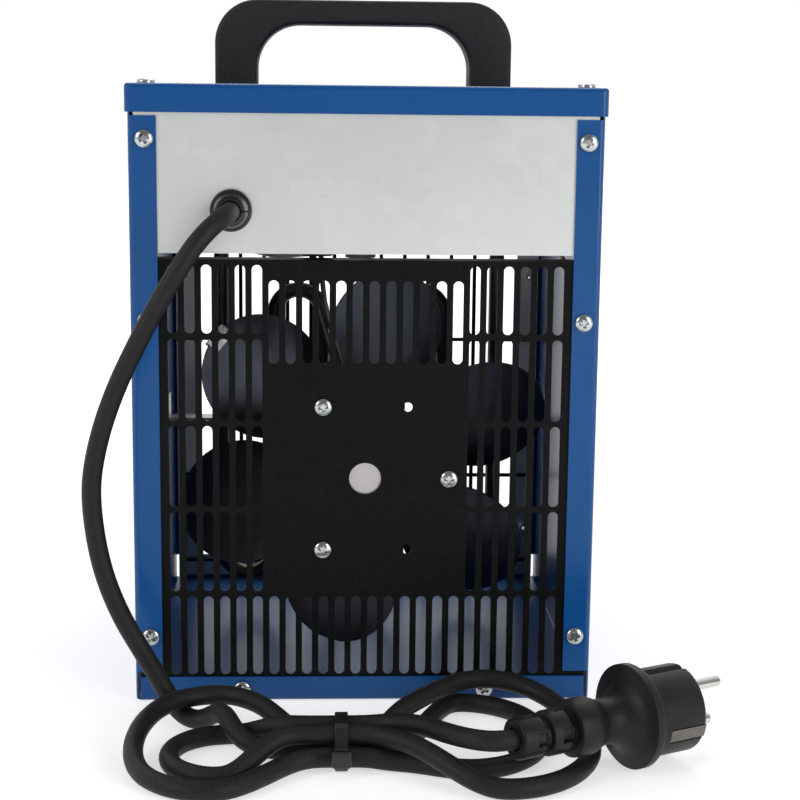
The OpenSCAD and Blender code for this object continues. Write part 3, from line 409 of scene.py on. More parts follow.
# %% Rubber, plastic and nylon
tree, shader = finish(
    "cord_rubber", tint(26, 25, 26), tint(35, 34, 35), (0.48, 0.58), 0.5, 0.03,
    patch=9, Specular_IOR_Level=0.25,
)
dusty(tree, shader, 0.07, 0.7)
tree, shader = finish(
    "plug_rubber", tint(13, 13, 14), tint(18, 17, 19), (0.42, 0.54), 0.45, 0.02,
    patch=14, Specular_IOR_Level=0.3,
)
dusty(tree, shader, 0.05, 0.9)
tree, shader = finish(
    "handle_plastic", tint(33, 31, 33), tint(40, 38, 40), (0.50, 0.60), 0.55, 0.03,
    patch=22, Specular_IOR_Level=0.25,
)
dusty(tree, shader, 0.15, 1.1)
finish("knob_plastic", tint(20, 20, 22), tint(27, 27, 29), (0.16, 0.26), 0.8, 0.006,
       patch=12, Specular_IOR_Level=0.5)
finish("tie_nylon", tint(22, 22, 23), tint(34, 33, 34), (0.30, 0.42), 0.7, 0.015,
       patch=5, Specular_IOR_Level=0.5)
finish("cream_plastic", tint(222, 214, 190), tint(232, 225, 204), (0.38, 0.50), 0.6, 0.012,
       patch=10, Specular_IOR_Level=0.45)
wire_colours = {
    "wire_white": (226, 224, 216), "wire_brown": (96, 58, 38), "wire_black": (26, 26, 28),
}
for slot, colour in wire_colours.items():
    finish(slot, tint(*colour), tint(*[min(255, c + 12) for c in colour]), (0.34, 0.46), 0.5, 0.01,
           patch=8, Specular_IOR_Level=0.45)
finish("lamp_lens", tint(232, 92, 30), tint(244, 116, 44), (0.06, 0.10), 0.6, 0.002,
       patch=6, Transmission_Weight=0.35, IOR=1.49, Coat_Weight=0.6, Coat_Roughness=0.05)

# %% Give every CAD node its finish
for name, node in cad_nodes.items():
    for holder in node.material_slots:
        holder.material = finishes[holder.material.name.split(".")[0]]

# The plug's earth contacts sit in grooves; their nickel is painted darker than the pins, as
# painted shade of the grooves
finish("groove_shade_nickel", tint(96, 93, 88), tint(122, 118, 112), (0.30, 0.42), 0.4, 0.002,
       patch=6, Metallic=1)
for holder in cad_nodes["plug_earth_contacts"].material_slots:
    holder.material = finishes["groove_shade_nickel"]
print("dressed CAD nodes:", len(cad_nodes))

# %% [markdown]
# ## The mains lead
# The lead leaves the gland, hangs down beside the case, and lies in a hank that a cable
# tie holds. A cord keeps its length and never bends sharply, so it is drawn as one
# smooth line through the points of its route, with a round section along it. The hank's
# four end loops are half ellipses joined by runs that ease into the tie. The route comes
# first here, because its length is a fact of the object and not a matter of looks.

# %% Sizes of the lead
cord_thick = 8.5
cord_half = cord_thick / 2
strand = cord_thick + 1.2
tie_x, tie_y, tie_run = -11, -180, 10
tie_thick, tie_wide, tie_gap = 1.2, 5.5, 0.3
low_layer = tie_thick + tie_gap + cord_half
high_layer = low_layer + strand * math.sin(math.radians(60))
over_layer = cord_half + cord_thick + 1.4
gland_place = (-60, -103.8, 226)
plug_tail = (58, -213, 22.1)
plug_turn, plug_roll = math.radians(27), math.radians(16)

# %% The stretch from the gland to the tie, and the end that goes to the plug
drop_route = [
    (-60, -111.8, 226), (-60, -120.3, 226), (-61.5, -127, 225), (-66, -133, 221.5),
    (-73, -137, 214), (-81, -139, 202), (-90, -139, 187), (-99, -138, 170),
    (-108, -137, 151), (-115, -137, 131), (-119, -137, 110), (-118, -137, 89),
    (-114, -137, 69), (-107, -136, 50), (-98, -135, 33), (-91.5, -133.2, 20.5),
    (-87.5, -133.4, 12.8), (-82.8, -136, 7), (-76.8, -141, 4.7), (-70.8, -146.7, 6.8),
    (-65.5, -152.7, 11.6), (-61.5, -159.5, 14), (-58.6, -167, 13.2),
    (-54.5, -174, 9.8), (-48, -179, 7), (-39, -180.6, 5.8), (-30, tie_y, low_layer),
    (tie_x - tie_run, tie_y, low_layer),
]
lead_route = [
    (tie_x + tie_run, tie_y + strand / 2, high_layer),
    (4, tie_y + strand / 2, high_layer + 0.4), (10.5, -177, 15.8),
    (17, -181.4, 17.2), (24, -188.5, 18.6), (31, -198.5, 19.8), (37, -207.2, 21.2),
    (43, -213, 22), (50, -215.2, 22.1), plug_tail,
    (58 + 5 * math.cos(plug_turn), -213 + 5 * math.sin(plug_turn), 22.1),
]

# %% The four end loops of the hank
tie_places = [(0, 0), (-1, 0), (1, 0), (-0.5, 1), (0.5, 1)]
# Middle x, half length, far y, near y, far height, near height, hold, climb
end_loops = [
    (42, 34, -120, -200, cord_half, cord_half, 1.4, 4),
    (-64, 34, -136, -221, over_layer, cord_half, 1, 1.6),
    (55, 41, -116, -221, over_layer, cord_half, 0.85, 3),
    (-60, 23, -159, -207, cord_half, cord_half, 1.6, 4),
]
high_share = 0.3


def ease(share):
    return (1 - math.cos(math.pi * max(0, min(1, share)))) / 2


def under_tie(k):
    across, layer = tie_places[k]
    return tie_y + across * strand, high_layer if layer else low_layer


def run_point(k, j, far, share):
    middle, _, far_y, near_y, far_z, near_z, hold, climb = end_loops[j]
    side = 1 if middle > tie_x else -1
    start_x = tie_x + side * tie_run
    y0, z0 = under_tie(k)
    y1, z1 = (far_y, far_z) if far else (near_y, near_z)
    rise = climb * share
    if z1 <= z0 and z0 != low_layer:
        rise = (share - high_share) / (1 - high_share)
    return (
        start_x + (middle - start_x) * share,
        y0 + (y1 - y0) * ease(share ** hold),
        z0 + (z1 - z0) * ease(rise),
    )


def end_point(j, degrees):
    middle, half, far_y, near_y, far_z, near_z, _, _ = end_loops[j]
    side = 1 if middle > tie_x else -1
    angle = math.radians(degrees)
    share = degrees / 90 if j % 2 == 0 else (degrees + 40) / 100
    return (
        middle + side * half * math.cos(angle),
        (far_y + near_y) / 2 + (far_y - near_y) / 2 * math.sin(angle),
        near_z + (far_z - near_z) * ease(share),
    )


def loop_points(j, runs=20, ends=25):
    right_hand = j % 2 == 0
    shares = [(i / runs + math.sin(math.pi / 2 * i / runs)) / 2 for i in range(runs + 1)]
    turn_way = 1 if right_hand else -1
    out = [run_point(j, j, right_hand, s) for s in shares]
    bend = [end_point(j, turn_way * (90 - 180 * i / ends)) for i in range(1, ends)]
    back = [run_point(j + 1, j, not right_hand, s) for s in reversed(shares)]
    return out + bend + back


hank_route = [p for j in range(4) for p in loop_points(j)]


# %% One evenly spaced line through all the points
def through(points, step=1.0):
    """A centripetal Catmull-Rom line through the points."""
    p = [np.array(q, float) for q in points]
    p = [2 * p[0] - p[1]] + p + [2 * p[-1] - p[-2]]
    line = []
    for a, b, c, d in zip(p, p[1:], p[2:], p[3:]):
        t1 = math.sqrt(np.linalg.norm(b - a))
        t2 = t1 + math.sqrt(np.linalg.norm(c - b))
        t3 = t2 + math.sqrt(np.linalg.norm(d - c))
        count = max(2, int(np.linalg.norm(c - b) / step))
        for t in np.linspace(t1, t2, count, endpoint=False):
            ab = (t1 - t) / t1 * a + t / t1 * b
            bc = (t2 - t) / (t2 - t1) * b + (t - t1) / (t2 - t1) * c
            cd = (t3 - t) / (t3 - t2) * c + (t - t2) / (t3 - t2) * d
            abc = (t2 - t) / t2 * ab + t / t2 * bc
            bcd = (t3 - t) / (t3 - t1) * bc + (t - t1) / (t3 - t1) * cd
            line.append((t2 - t) / (t2 - t1) * abc + (t - t1) / (t2 - t1) * bcd)
    return np.array(line + [p[-2]])


def evenly(line, step):
    along = np.concatenate([[0], np.cumsum(np.linalg.norm(np.diff(line, axis=0), axis=1))])
    at = np.linspace(0, along[-1], int(along[-1] / step) + 1)
    return np.stack([np.interp(at, along, line[:, k]) for k in range(3)], axis=1)


raw_line = np.concatenate([
    through(drop_route)[:-1], np.array(hank_route), through(lead_route)[1:],
])
lead_line = evenly(raw_line, 2.5)
for _ in range(3):
    lead_line[2:-2] = (lead_line[1:-3] + 2 * lead_line[2:-2] + lead_line[3:-1]) / 4

# %% How near the lead comes to itself
apart = np.linalg.norm(lead_line[:, None] - lead_line[None], axis=2)
order = np.arange(len(lead_line))
apart[np.abs(order[:, None] - order[None]) < 10] = 999
print("least gap of the lead to itself:", round(apart.min() - cord_thick, 2), "mm")

# %% The lead as a curve with a round section
def drawn_cord(name, line):
    curve = bpy.data.curves.new(name, "CURVE")
    curve.dimensions = "3D"
    curve.bevel_depth = cord_half / 1000
    curve.bevel_resolution = 8
    curve.use_fill_caps = True
    spline = curve.splines.new("POLY")
    spline.points.add(len(line) - 1)
    for point, place in zip(spline.points, line):
        point.co = (*mm(place), 1)
    thing = bpy.data.objects.new(name, curve)
    bpy.context.scene.collection.objects.link(thing)
    thing.data.materials.append(finishes["cord_rubber"])
    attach(thing, "case")
    return thing


mains_lead = drawn_cord("mains_lead", lead_line)
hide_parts("cord_drop", "cord_hank", "cord_lead")

# %% [markdown]
# ## The plug
# The plug is a round rubber moulding: ribs that let the lead bend, a collar, a waist
# that flares into a finger guard, and a body with a guide groove on each side. All of
# that but the grooves is round, so its outline is turned, and the grooves are carved
# while turning, as are the windows that make the ribs bend easily. A boolean cut would
# do the same but leaves rough shading.


# %% From the plug's own axis to its place on the ground
def at_plug(c):
    x = c[0] * math.cos(plug_roll) - c[1] * math.sin(plug_roll)
    y = c[0] * math.sin(plug_roll) + c[1] * math.cos(plug_roll)
    along, up = c[2], -x
    return (
        plug_tail[0] + along * math.cos(plug_turn) - y * math.sin(plug_turn),
        plug_tail[1] + along * math.sin(plug_turn) + y * math.cos(plug_turn),
        plug_tail[2] + up,
    )


# %% The plug's outline and its grooves
flare = [
    (9.6 + 12.4 * (1 - math.sqrt(1 - (i / 12) ** 2)), 44 + 12 * i / 12) for i in range(13)
]
plug_outline = [
    (4.4, 4), (4.5, 0.8), (4.9, 0.1), (7.9, 0), (8.4, 0.4), (8.6, 1), (8.6, 6.4), (8.6, 6.6),
    (8.6, 10), (8.4, 10.7),
    (7.9, 11), (6.8, 11.1), (6.6, 11.4), (6.6, 13.6), (6.8, 13.9), (8.7, 14), (9.2, 14.3),
    (9.4, 14.9), (9.4, 17.9), (9.4, 18.1), (9.4, 22.1), (9.2, 22.7), (8.7, 23), (7.4, 23.1),
    (7.2, 23.4), (7.2, 25.6),
    (7.5, 25.9), (11.2, 26), (11.8, 26.3), (12, 26.9), (12, 35), (11.7, 36), (10.4, 38.9),
    (9.9, 40.2), (9.6, 41.5),
] + flare + [
    (22, 56.6), (22, 59.2), (21.6, 59.9), (20.4, 60.6), (19.1, 61.2), (18.6, 62), (18.5, 63.4),
    (18.5, 63.9), (18.5, 64.1), (18.5, 65.9), (18.5, 66.1), (18.5, 82.2), (18.3, 83.1),
    (17.8, 83.7), (17, 84), (16.2, 84), (0, 84),
]


def plug_carve(radius, angle, height):
    if radius > 6.9 and (6.5 < height < 11.2 or 18 < height < 23.2):
        if abs((math.degrees(angle) + 22) % 90 - 45) > 27:
            return 6.9
    if height < 64 or radius < 5:
        return radius
    r = radius
    for groove in (math.radians(11), math.radians(169)):
        away = abs(math.atan2(math.sin(angle - groove), math.cos(angle - groove))) * 18.5
        r = min(r, 16.4 + max(0.0, away - 0.4) * 1.15)
    if height > 66 and abs(math.cos(angle)) * 18.5 < 3.1:
        r = min(r, 16.9 / abs(math.sin(angle)))
    return r


plug_part = moved(turned(plug_outline, 200, plug_carve), at_plug)
plug = piece("plug_moulding", *plug_part, finishes["plug_rubber"], "plug_rubber",
             stands_for=["plug_body"], sharp=40)
print("plug corners:", len(plug.data.vertices))

# %% [markdown]
# ## The cable tie
# The tie is a nylon strap round the five strands, pulled through a small box. Seen
# along the lead it is the outline of the bundle, so the strap follows an outline made
# of straight stretches and arcs. Its teeth are a small ripple in its thickness.


# %% The bundle's outline, and the strap along it
def tie_line(radius, spacing=0.5):
    """Places and outward directions along the outline, in Y and Z."""
    corners = [(tie_y + strand, low_layer), (tie_y + strand / 2, high_layer),
               (tie_y - strand / 2, high_layer), (tie_y - strand, low_layer)]
    dirs = []
    for (y0, z0), (y1, z1) in zip(corners, corners[1:] + corners[:1]):
        run = math.hypot(y1 - y0, z1 - z0)
        dirs.append(((z1 - z0) / run, -(y1 - y0) / run, run))
    line = []
    for k, (y, z) in enumerate(corners):
        before, after = dirs[k - 1], dirs[k]
        a0 = math.atan2(before[1], before[0])
        a1 = math.atan2(after[1], after[0])
        sweep = (a1 - a0) % (2 * math.pi)
        count = max(2, round(sweep * radius / spacing))
        for i in range(count):
            a = a0 + sweep * i / count
            c, s = math.cos(a), math.sin(a)
            line.append((y + radius * c, z + radius * s, c, s))
        y2, z2 = corners[(k + 1) % 4]
        count = max(2, round(after[2] / spacing))
        for i in range(count):
            f = i / count
            line.append((y + (y2 - y) * f + radius * after[0],
                         z + (z2 - z) * f + radius * after[1],
                         after[0], after[1]))
    return line


strap_line = tie_line(cord_half + tie_gap)
strap_corners, strap_faces = [], []
half = tie_wide / 2
for i, (y, z, out_y, out_z) in enumerate(strap_line):
    tooth = tie_thick - (0.22 if i % 4 < 2 else 0)
    for across, lift in ((-half, 0), (-half, 0.8), (-half + 0.35, tie_thick), (-1.7, tie_thick),
                         (-1.5, tooth), (1.5, tooth), (1.7, tie_thick),
                         (half - 0.35, tie_thick), (half, 0.8), (half, 0)):
        strap_corners.append((tie_x + across, y + out_y * lift, z + out_z * lift))
rows, wide = len(strap_line), 10
for i in range(rows):
    for k in range(wide):
        a, b = i * wide + k, i * wide + (k + 1) % wide
        c, d = ((i + 1) % rows) * wide + (k + 1) % wide, ((i + 1) % rows) * wide + k
        strap_faces.append((a, b, c, d))
print("strap stations:", rows)


# %% A block with rounded edges, for the tie's box and other small blocks
def block(low, high, round_by, steps=3):
    work = bmesh.new()
    bmesh.ops.create_cube(work, size=1)
    for v in work.verts:
        v.co = [l + (h - l) * (c + 0.5) for l, h, c in zip(low, high, v.co)]
    bmesh.ops.bevel(work, geom=work.edges[:], offset=round_by, segments=steps,
                    profile=0.5, affect="EDGES")
    work.verts.index_update()
    corners = [tuple(v.co) for v in work.verts]
    faces = [tuple(v.index for v in f.verts) for f in work.faces]
    work.free()
    return corners, faces


tie_box = merged([
    (strap_corners, strap_faces),
    block((-15.2, -200.5, 5.6), (-6.8, -194.7, 12), 0.8),
    block((-14.6, -200.55, 5.0), (-7.4, -195.4, 6.6), 0.35),
    block((-13.9, -198.2, 11.4), (-8.1, -196.8, 12.9), 0.3),
])
cable_tie = piece("tie_strap", *tie_box, finishes["tie_nylon"], "tie_nylon",
                  stands_for=["cable_tie"], sharp=30)

# %% [markdown]
# ## The handle
# The handle is a plastic arch with soft edges. It could be a beveled copy of its
# outline, but the arch is thick at the legs and thin at the grip, so it is swept: at
# each station along the arch, one rounded section joins the outer to the inner line.


# %% Stations along the arch
def arch_line(half_wide, high, radius, straight=10, bend=16, flat=24):
    """Left foot to right foot, as X and Z from the middle of the lid."""
    left = [(-half_wide, (high - radius) * i / straight) for i in range(straight)]
    corner = [(-half_wide + radius - radius * math.cos(a), high - radius + radius * math.sin(a))
              for a in (math.pi / 2 * i / bend for i in range(bend))]
    top = [(-half_wide + radius + 2 * (half_wide - radius) * i / flat, high)
           for i in range(flat + 1)]
    right_half = [(-x, z) for x, z in reversed(left + corner)]
    return left + corner + top + right_half


outer_line = arch_line(72.5, 41.5, 21)
inner_line = arch_line(52, 30, 21)
print("stations along the handle:", len(outer_line))

# %% One rounded section at each station
edge_round, half_deep, lid_top = 2.4, 12, 281
section = []
for quarter in range(4):
    for i in range(5):
        a = math.pi / 2 * (quarter + i / 4)
        side, face = 1 if quarter in (0, 3) else -1, 1 if quarter < 2 else -1
        section.append((side, face, math.cos(a), math.sin(a)))
handle_corners, handle_faces = [], []
for (ox, oz), (ix, iz) in zip(outer_line, inner_line):
    reach = math.hypot(ox - ix, oz - iz)
    out = ((ox - ix) / reach, (oz - iz) / reach)
    for side, face, c, s in section:
        across = reach / 2 + side * (reach / 2 - edge_round) + edge_round * c
        deep = face * (half_deep - edge_round) + edge_round * s
        handle_corners.append((ix + out[0] * across, deep, lid_top + iz + out[1] * across))
wide = len(section)
for i in range(len(outer_line) - 1):
    for k in range(wide):
        a, b = i * wide + k, i * wide + (k + 1) % wide
        handle_faces.append((a, b, b + wide, a + wide))
handle_faces += [tuple(range(wide)), tuple(range(len(handle_corners) - wide, len(handle_corners)))]
piece("handle_arch", handle_corners, handle_faces, finishes["handle_plastic"],
      "handle_plastic", stands_for=["handle"], sharp=40)

# %% [markdown]
# ## Screws
# The photograph shows bright cross heads on every edge. One screw is turned and its
# cross is cut with two tapered wedges. A boolean is right here: the cut is small, deep
# and sharp. Copies of the finished screw then go to each place, each turned by its own
# random angle.


# %% Cut one part out of another
def cut(part, cutter):
    things = []
    for corners, faces in (part, cutter):
        mesh = bpy.data.meshes.new("cutting")
        mesh.from_pydata(corners, [], faces)
        work = bmesh.new()
        work.from_mesh(mesh)
        bmesh.ops.remove_doubles(work, verts=work.verts, dist=1e-4)
        bmesh.ops.recalc_face_normals(work, faces=work.faces)
        work.to_mesh(mesh)
        work.free()
        thing = bpy.data.objects.new("cutting", mesh)
        bpy.context.scene.collection.objects.link(thing)
        things.append(thing)
    knife = things[0].modifiers.new("cut", "BOOLEAN")
    knife.object, knife.operation, knife.solver = things[1], "DIFFERENCE", "EXACT"
    ready = things[0].evaluated_get(bpy.context.evaluated_depsgraph_get())
    out = bpy.data.meshes.new_from_object(ready)
    result = ([tuple(v.co) for v in out.vertices], [tuple(f.vertices) for f in out.polygons])
    for thing in things:
        bpy.data.objects.remove(thing)
    return result


def wedge(top_long, top_wide, low_long, low_wide, top, low):
    levels = ((top_long, top_wide, top), (low_long, low_wide, low))
    corners = [(x * l, y * w, z) for l, w, z in levels
               for x, y in ((-1, -1), (1, -1), (1, 1), (-1, 1))]
    sides = [(i, (i + 1) % 4, (i + 1) % 4 + 4, i + 4) for i in range(4)]
    return corners, [(0, 1, 2, 3), (4, 5, 6, 7)] + sides


# %% One pan head screw with a threaded shank
def pan_screw(shank, length, head=4.0, high=2.4):
    outline = [(0, -length), (0.5, -length + 0.05), (shank - 0.5, -length + 1.3)]
    z = -length + 1.6
    while z < -1.2:
        outline += [(shank - 0.45, z), (shank, z + 0.45), (shank - 0.45, z + 0.9)]
        z += 1.2
    outline += [(shank, -0.5), (shank, 0), (head - 0.25, 0), (head, 0.25), (head, 0.9)]
    outline += [(head * math.cos(a), 0.9 + (high - 0.9) * math.sin(a))
                for a in (math.pi / 2 * i / 9 for i in range(1, 9))]
    part = turned(outline + [(0, high)], 48)
    for long_x in (True, False):
        arm = wedge(2.7, 0.78, 1.4, 0.5, high + 0.3, high - 1.6)
        if not long_x:
            arm = moved(arm, lambda c: (c[1], -c[0], c[2]))
        part = cut(part, arm)
    return part


def spun(part):
    a = dice.uniform(0, math.pi)
    return moved(part, lambda c: (c[0] * math.cos(a) - c[1] * math.sin(a),
                                  c[0] * math.sin(a) + c[1] * math.cos(a), c[2]))


# %% Ways to look: where a screw's head points
def rearward(x, y, z):
    return lambda c: (x + c[0], y - c[2], z + c[1])


def frontward(x, y, z):
    return lambda c: (x + c[0], y + c[2], z - c[1])


def upward_at(x, y, z):
    return lambda c: (x + c[0], y + c[1], z + c[2])


flange_x, motor_ring, axis_high = 97.7, 38.2, 105
side_places = [(x * flange_x, z) for x in (-1, 1) for z in (31, 177, 257)]
base_places = [(x * 56, 5.75) for x in (-1, 1)]
motor_places = [(motor_ring * math.cos(a), axis_high + motor_ring * math.sin(a))
                for a in (0, 2 * math.pi / 3, 4 * math.pi / 3)]
screw_sets = {
    "rear_screws": [rearward(x, -105, z) for x, z in side_places],
    "front_screws": [frontward(x, 105, z) for x, z in side_places],
    "base_screws": [rearward(x, -105, z) for x, z in base_places]
    + [frontward(x, 105, z) for x, z in base_places],
    "lid_screws": [upward_at(x * flange_x, y * 94, lid_top) for x in (-1, 1) for y in (-1, 1)],
    "motor_screws": [rearward(x, -103.8, z) for x, z in motor_places],
}
case_screw, motor_screw = pan_screw(1.95, 8), pan_screw(1.95, 5.5)
for node, places in screw_sets.items():
    one = motor_screw if node == "motor_screws" else case_screw
    part = merged([moved(spun(one), way) for way in places])
    piece("set_of_" + node, *part, finishes["zinc_screw"], "zinc_screw",
          stands_for=[node], sharp=28)
print("screws:", sum(len(p) for p in screw_sets.values()))

# %% [markdown]
# ## The gland
# Where the lead enters the case it passes a glossy plastic gland: a round collar, and
# in it a tapered nose that grips the lead. A split in the nose lets it close.

# %% Collar and nose as one turned piece
gland_outline = [
    (4.4, 4), (4.4, 7.4), (4.7, 7.9), (6.2, 8), (6.7, 7.7), (7.0, 7), (8.0, 3.9), (8.1, 3.3),
    (8.3, 3.1), (8.9, 3), (9.2, 2.7), (9.3, 2.2), (9.3, 0.5), (9.1, 0), (7, 0), (7, -6), (0, -6),
]
gland_part = cut(turned(gland_outline, 96), wedge(9.5, 0.35, 9.5, 0.35, 9, 3.4))
piece("gland_nose", *moved(gland_part, rearward(*gland_place)), finishes["knob_plastic"],
      "knob_plastic", stands_for=["cord_gland"], sharp=35)

# %% [markdown]
# ## The controls at the front
# The photograph doesn't show the front, so the knobs are the usual ones: a turned skirt
# and a rounded grip bar with a pale pointer line. Each knob is one piece that stands for
# its CAD knob and turns with its own body. The marks on the panel are thin prints.

# %% One knob, as turned skirt and grip bar
control_x, control_z, knob_face, panel_face = 46, 242.5, 105.3, 103.8
knob_high, bore, finger_ribs, rib_deep = 17, 3.3, 36, 0.35
skirt = [
    (0, 9.2), (bore, 9.2), (bore, 0), (18.4, 0), (18.8, 0.2), (19, 0.8), (19, 3.6), (18.8, 4.3),
    (18.2, 4.8), (17.2, 5.1), (15.5, 5.15), (15, 5.4), (14.8, 6), (14.7, 7.2), (14.4, 8),
    (13.7, 8.4), (12.8, 8.5), (0, 8.5),
]


def ribbed(radius, angle, height):
    """Shallow finger ribs round the skirt."""
    if 0.5 < height < 4.5 and radius > 17:
        return radius - rib_deep * (0.5 + 0.5 * math.cos(angle * finger_ribs)) ** 2
    return radius


def knob_part():
    bar = block((-4.5, -16.6, 8), (4.5, 16.6, knob_high), 1.7, 5)
    return merged([turned(skirt, 216, ribbed), bar])


def pointer_part():
    return block((-0.5, -15, knob_high - 0.3), (0.5, -6, knob_high + 0.05), 0.12, 2)


for name, x in (("selector", -control_x), ("thermostat", control_x)):
    way = frontward(x, knob_face, control_z)
    knob = piece(name + "_grip", *moved(knob_part(), way), finishes["knob_plastic"],
                 "knob_plastic", body=name, stands_for=[name + "_knob"], sharp=30)
    piece(name + "_pointer", *moved(pointer_part(), way), finishes["wire_white"],
          "wire_white", body=name, sharp=30)
    print(knob.name, "corners:", len(knob.data.vertices))

# %% The pilot lamp's lens, a low dome
lens_radius, dome_foot, dome_high = 5, 5.6, 2.8
dome = [(lens_radius * math.cos(a), dome_foot + dome_high * math.sin(a))
        for a in (math.pi / 2 * i / 12 for i in range(12))]
lens_outline = [(0, 0), (3.8, 0), (4, 0.2), (4, 3.8), (5, 3.8)] + dome + [(0, 8.4)]
piece("pilot_dome", *moved(turned(lens_outline, 64), frontward(0, 99, control_z)),
      finishes["lamp_lens"], "lamp_lens", stands_for=["pilot_lamp_lens"], sharp=50)


# %% Marks round the knobs: ticks, digits and a band that widens with the heat
print_thick = 0.08


def tick(degrees, inner, outer, wide):
    a = math.radians(degrees)
    bar = block((-wide / 2, inner, 0), (wide / 2, outer, print_thick), 0.02, 1)
    return moved(bar, lambda c: (c[0] * math.cos(a) - c[1] * math.sin(a),
                                 -c[0] * math.sin(a) - c[1] * math.cos(a), c[2]))


def band(start, end, radius, widest, steps=60):
    corners, faces = [], []
    for i in range(steps + 1):
        a = math.radians(start + (end - start) * i / steps)
        for r in (radius, radius + 0.15 + widest * i / steps):
            for lift in (0, print_thick):
                corners.append((-r * math.sin(a), -r * math.cos(a), lift))
    for i in range(steps):
        for a, b in ((0, 1), (1, 3), (3, 2), (2, 0)):
            faces.append((i * 4 + a, i * 4 + b, i * 4 + 4 + b, i * 4 + 4 + a))
    last = steps * 4
    return corners, faces + [(0, 1, 3, 2), (last, last + 1, last + 3, last + 2)]


def digit(text, high, degrees, radius):
    a = math.radians(degrees)
    letters = bpy.data.curves.new("digit", "FONT")
    letters.body, letters.size, letters.extrude = text, high * 1.4, print_thick / 2
    letters.align_x, letters.align_y = "CENTER", "CENTER"
    thing = bpy.data.objects.new("digit", letters)
    bpy.context.scene.collection.objects.link(thing)
    bpy.context.view_layer.update()
    ready = thing.evaluated_get(bpy.context.evaluated_depsgraph_get())
    shape = bpy.data.meshes.new_from_object(ready)
    corners = [(-v.co.x - radius * math.sin(a), -v.co.y - radius * math.cos(a),
                v.co.z + print_thick / 2) for v in shape.vertices]
    faces = [tuple(f.vertices) for f in shape.polygons]
    bpy.data.objects.remove(thing)
    return corners, faces


selector_marks = merged(
    [tick(d, 19.8, 21.8, 0.7) for d in (0, 45, 90, 135)]
    + [digit(t, 3.2, d, 24.3) for t, d in (("0", 0), ("1", 45), ("2", 90), ("3", 135))]
)
heat_marks = merged(
    [tick(d, 20.2, 22.2 if k % 2 else 22.8, 0.6) for k, d in enumerate(range(0, 271, 27))]
    + [band(14, 270, 23.6, 2.2)]
)
scales = (("selector_scale", selector_marks, -control_x), ("heat_scale", heat_marks, control_x))
for name, marks, x in scales:
    piece(name, *moved(marks, frontward(x, panel_face, control_z)), finishes["wire_white"],
          "wire_white", sharp=30)
print("marks made")

# %% [markdown]
# ## The stage
# The heater stands on a plain pale floor before white. To the camera, the floor adds a
# little light of its own, so it reads as white paper while the heater's shadow stays on
# it. Diffuse rays see a plain floor, so the heater isn't lit more than it should be.


# %% How much a ray is one that shows the background
def background_ray(tree):
    path = add(tree, "ShaderNodeLightPath")
    first = add(tree, "ShaderNodeMath", {
        0: path.outputs["Is Camera Ray"], 1: path.outputs["Is Glossy Ray"],
    }, operation="ADD")
    both = add(tree, "ShaderNodeMath", {
        0: first.outputs[0], 1: path.outputs["Is Transmission Ray"],
    }, operation="ADD", use_clamp=True)
    return both.outputs[0]


# %% Floor
floor_mesh = bpy.data.meshes.new("floor")
floor_mesh.from_pydata([(-6, -6, 0), (6, -6, 0), (6, 6, 0), (-6, 6, 0)], [], [(0, 1, 2, 3)])
floor = bpy.data.objects.new("floor", floor_mesh)
floor.location.z = -0.0003
bpy.context.scene.collection.objects.link(floor)
paper = bpy.data.materials.new("pale_paper")
paper.use_nodes = True
tree = paper.node_tree
shader = tree.nodes["Principled BSDF"]
shader.inputs["Roughness"].default_value = 0.9
shader.inputs["Specular IOR Level"].default_value = 0.1
fibre = add(tree, "ShaderNodeGroup", node_tree=skin)
fibre.inputs["Patch mm"].default_value = 300
pale = add(tree, "ShaderNodeMix", {
    0: fibre.outputs["Patch"], 6: tint(232, 232, 231), 7: tint(236, 236, 235),
}, data_type="RGBA")
tree.links.new(pale.outputs[2], shader.inputs["Base Color"])
shader.inputs["Emission Color"].default_value = (1, 1, 1, 1)
place = add(tree, "ShaderNodeTexCoord").outputs["Object"]
reach = add(tree, "ShaderNodeVectorMath", {0: place}, operation="LENGTH")
far_white = add(tree, "ShaderNodeMapRange", {
    "Value": reach.outputs["Value"], "From Min": 0.4, "From Max": 2, "To Min": 0.58, "To Max": 1,
})
lift = add(tree, "ShaderNodeMath", {
    0: background_ray(tree), 1: far_white.outputs[0],
}, operation="MULTIPLY")
tree.links.new(lift.outputs[0], shader.inputs["Emission Strength"])
floor_mesh.materials.append(paper)

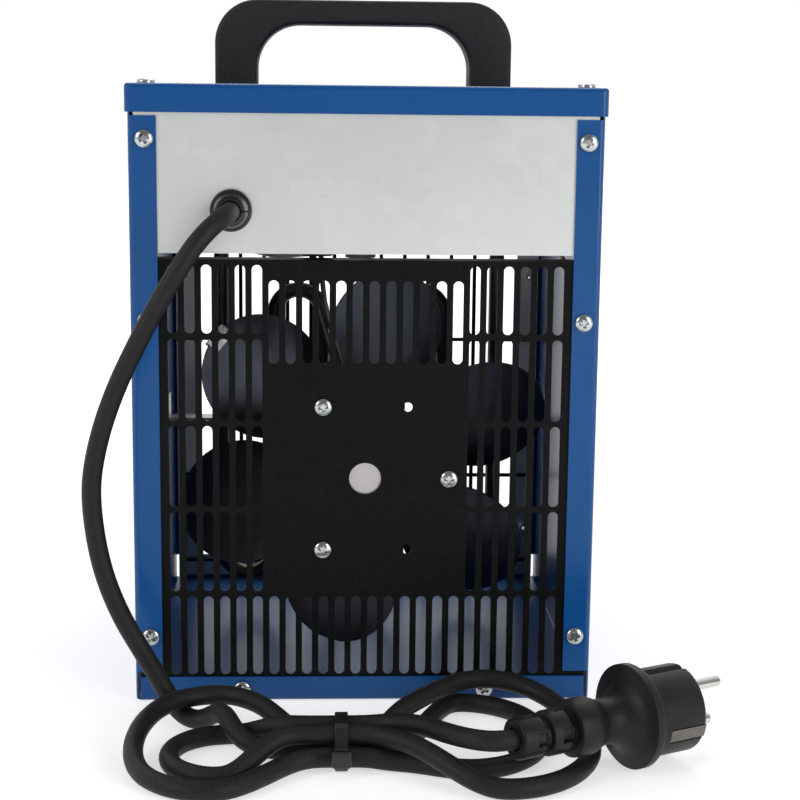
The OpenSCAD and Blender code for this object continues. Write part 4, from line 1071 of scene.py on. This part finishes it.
# %% World: white behind the heater, a dimmer room before it, and soft as a light
world = bpy.data.worlds.new("studio")
bpy.context.scene.world = world
world.use_nodes = True
tree = world.node_tree
air = tree.nodes["Background"]
air.inputs["Color"].default_value = (1, 1, 1, 1)
way = add(tree, "ShaderNodeSeparateXYZ", {0: add(tree, "ShaderNodeTexCoord").outputs["Generated"]})
ceiling = add(tree, "ShaderNodeMapRange", {
    "Value": way.outputs["Z"], "From Min": 0.1, "From Max": 0.5, "To Min": 0.3, "To Max": 0.2,
})
room = add(tree, "ShaderNodeMapRange", {
    "Value": way.outputs["Y"], "From Min": -0.4, "From Max": 0.4, "To Min": ceiling.outputs[0],
    "To Max": 1,
})
path = add(tree, "ShaderNodeLightPath")
seen = add(tree, "ShaderNodeMath", {
    0: path.outputs["Is Camera Ray"], 1: room.outputs[0],
}, operation="MAXIMUM")
room_light = 0.32
strength = add(tree, "ShaderNodeMix", {0: background_ray(tree), 2: room_light, 3: seen.outputs[0]})
tree.links.new(strength.outputs[0], air.inputs["Strength"])


# %% Soft lamps
def soft_lamp(name, place, target, wide, high, watts):
    lamp = bpy.data.lights.new(name, "AREA")
    lamp.shape, lamp.size, lamp.size_y, lamp.energy = "RECTANGLE", wide, high, watts
    thing = bpy.data.objects.new(name, lamp)
    thing.location = place
    thing.rotation_euler = (Vector(target) - Vector(place)).to_track_quat("-Z", "Y").to_euler()
    thing.visible_camera = False
    bpy.context.scene.collection.objects.link(thing)


soft_lamp("lamp_left_front", (-1.9, -1.4, 1.2), (0, 0, 0.15), 1.2, 1.2, 18)
soft_lamp("lamp_right_front", (1.2, -1.35, 0.6), (0, 0, 0.15), 0.7, 1.1, 11)
soft_lamp("lamp_above", (0.2, 1.4, 1.9), (0, 0, 0.2), 1.2, 1.2, 14)
bpy.context.scene.view_settings.view_transform = "Standard"

# %% [markdown]
# ## The end
# The dressed heater must be as large as the CAD model. The last cell brings the view layer up to
# date.

# %% Bring the view layer up to date
bpy.context.view_layer.update()
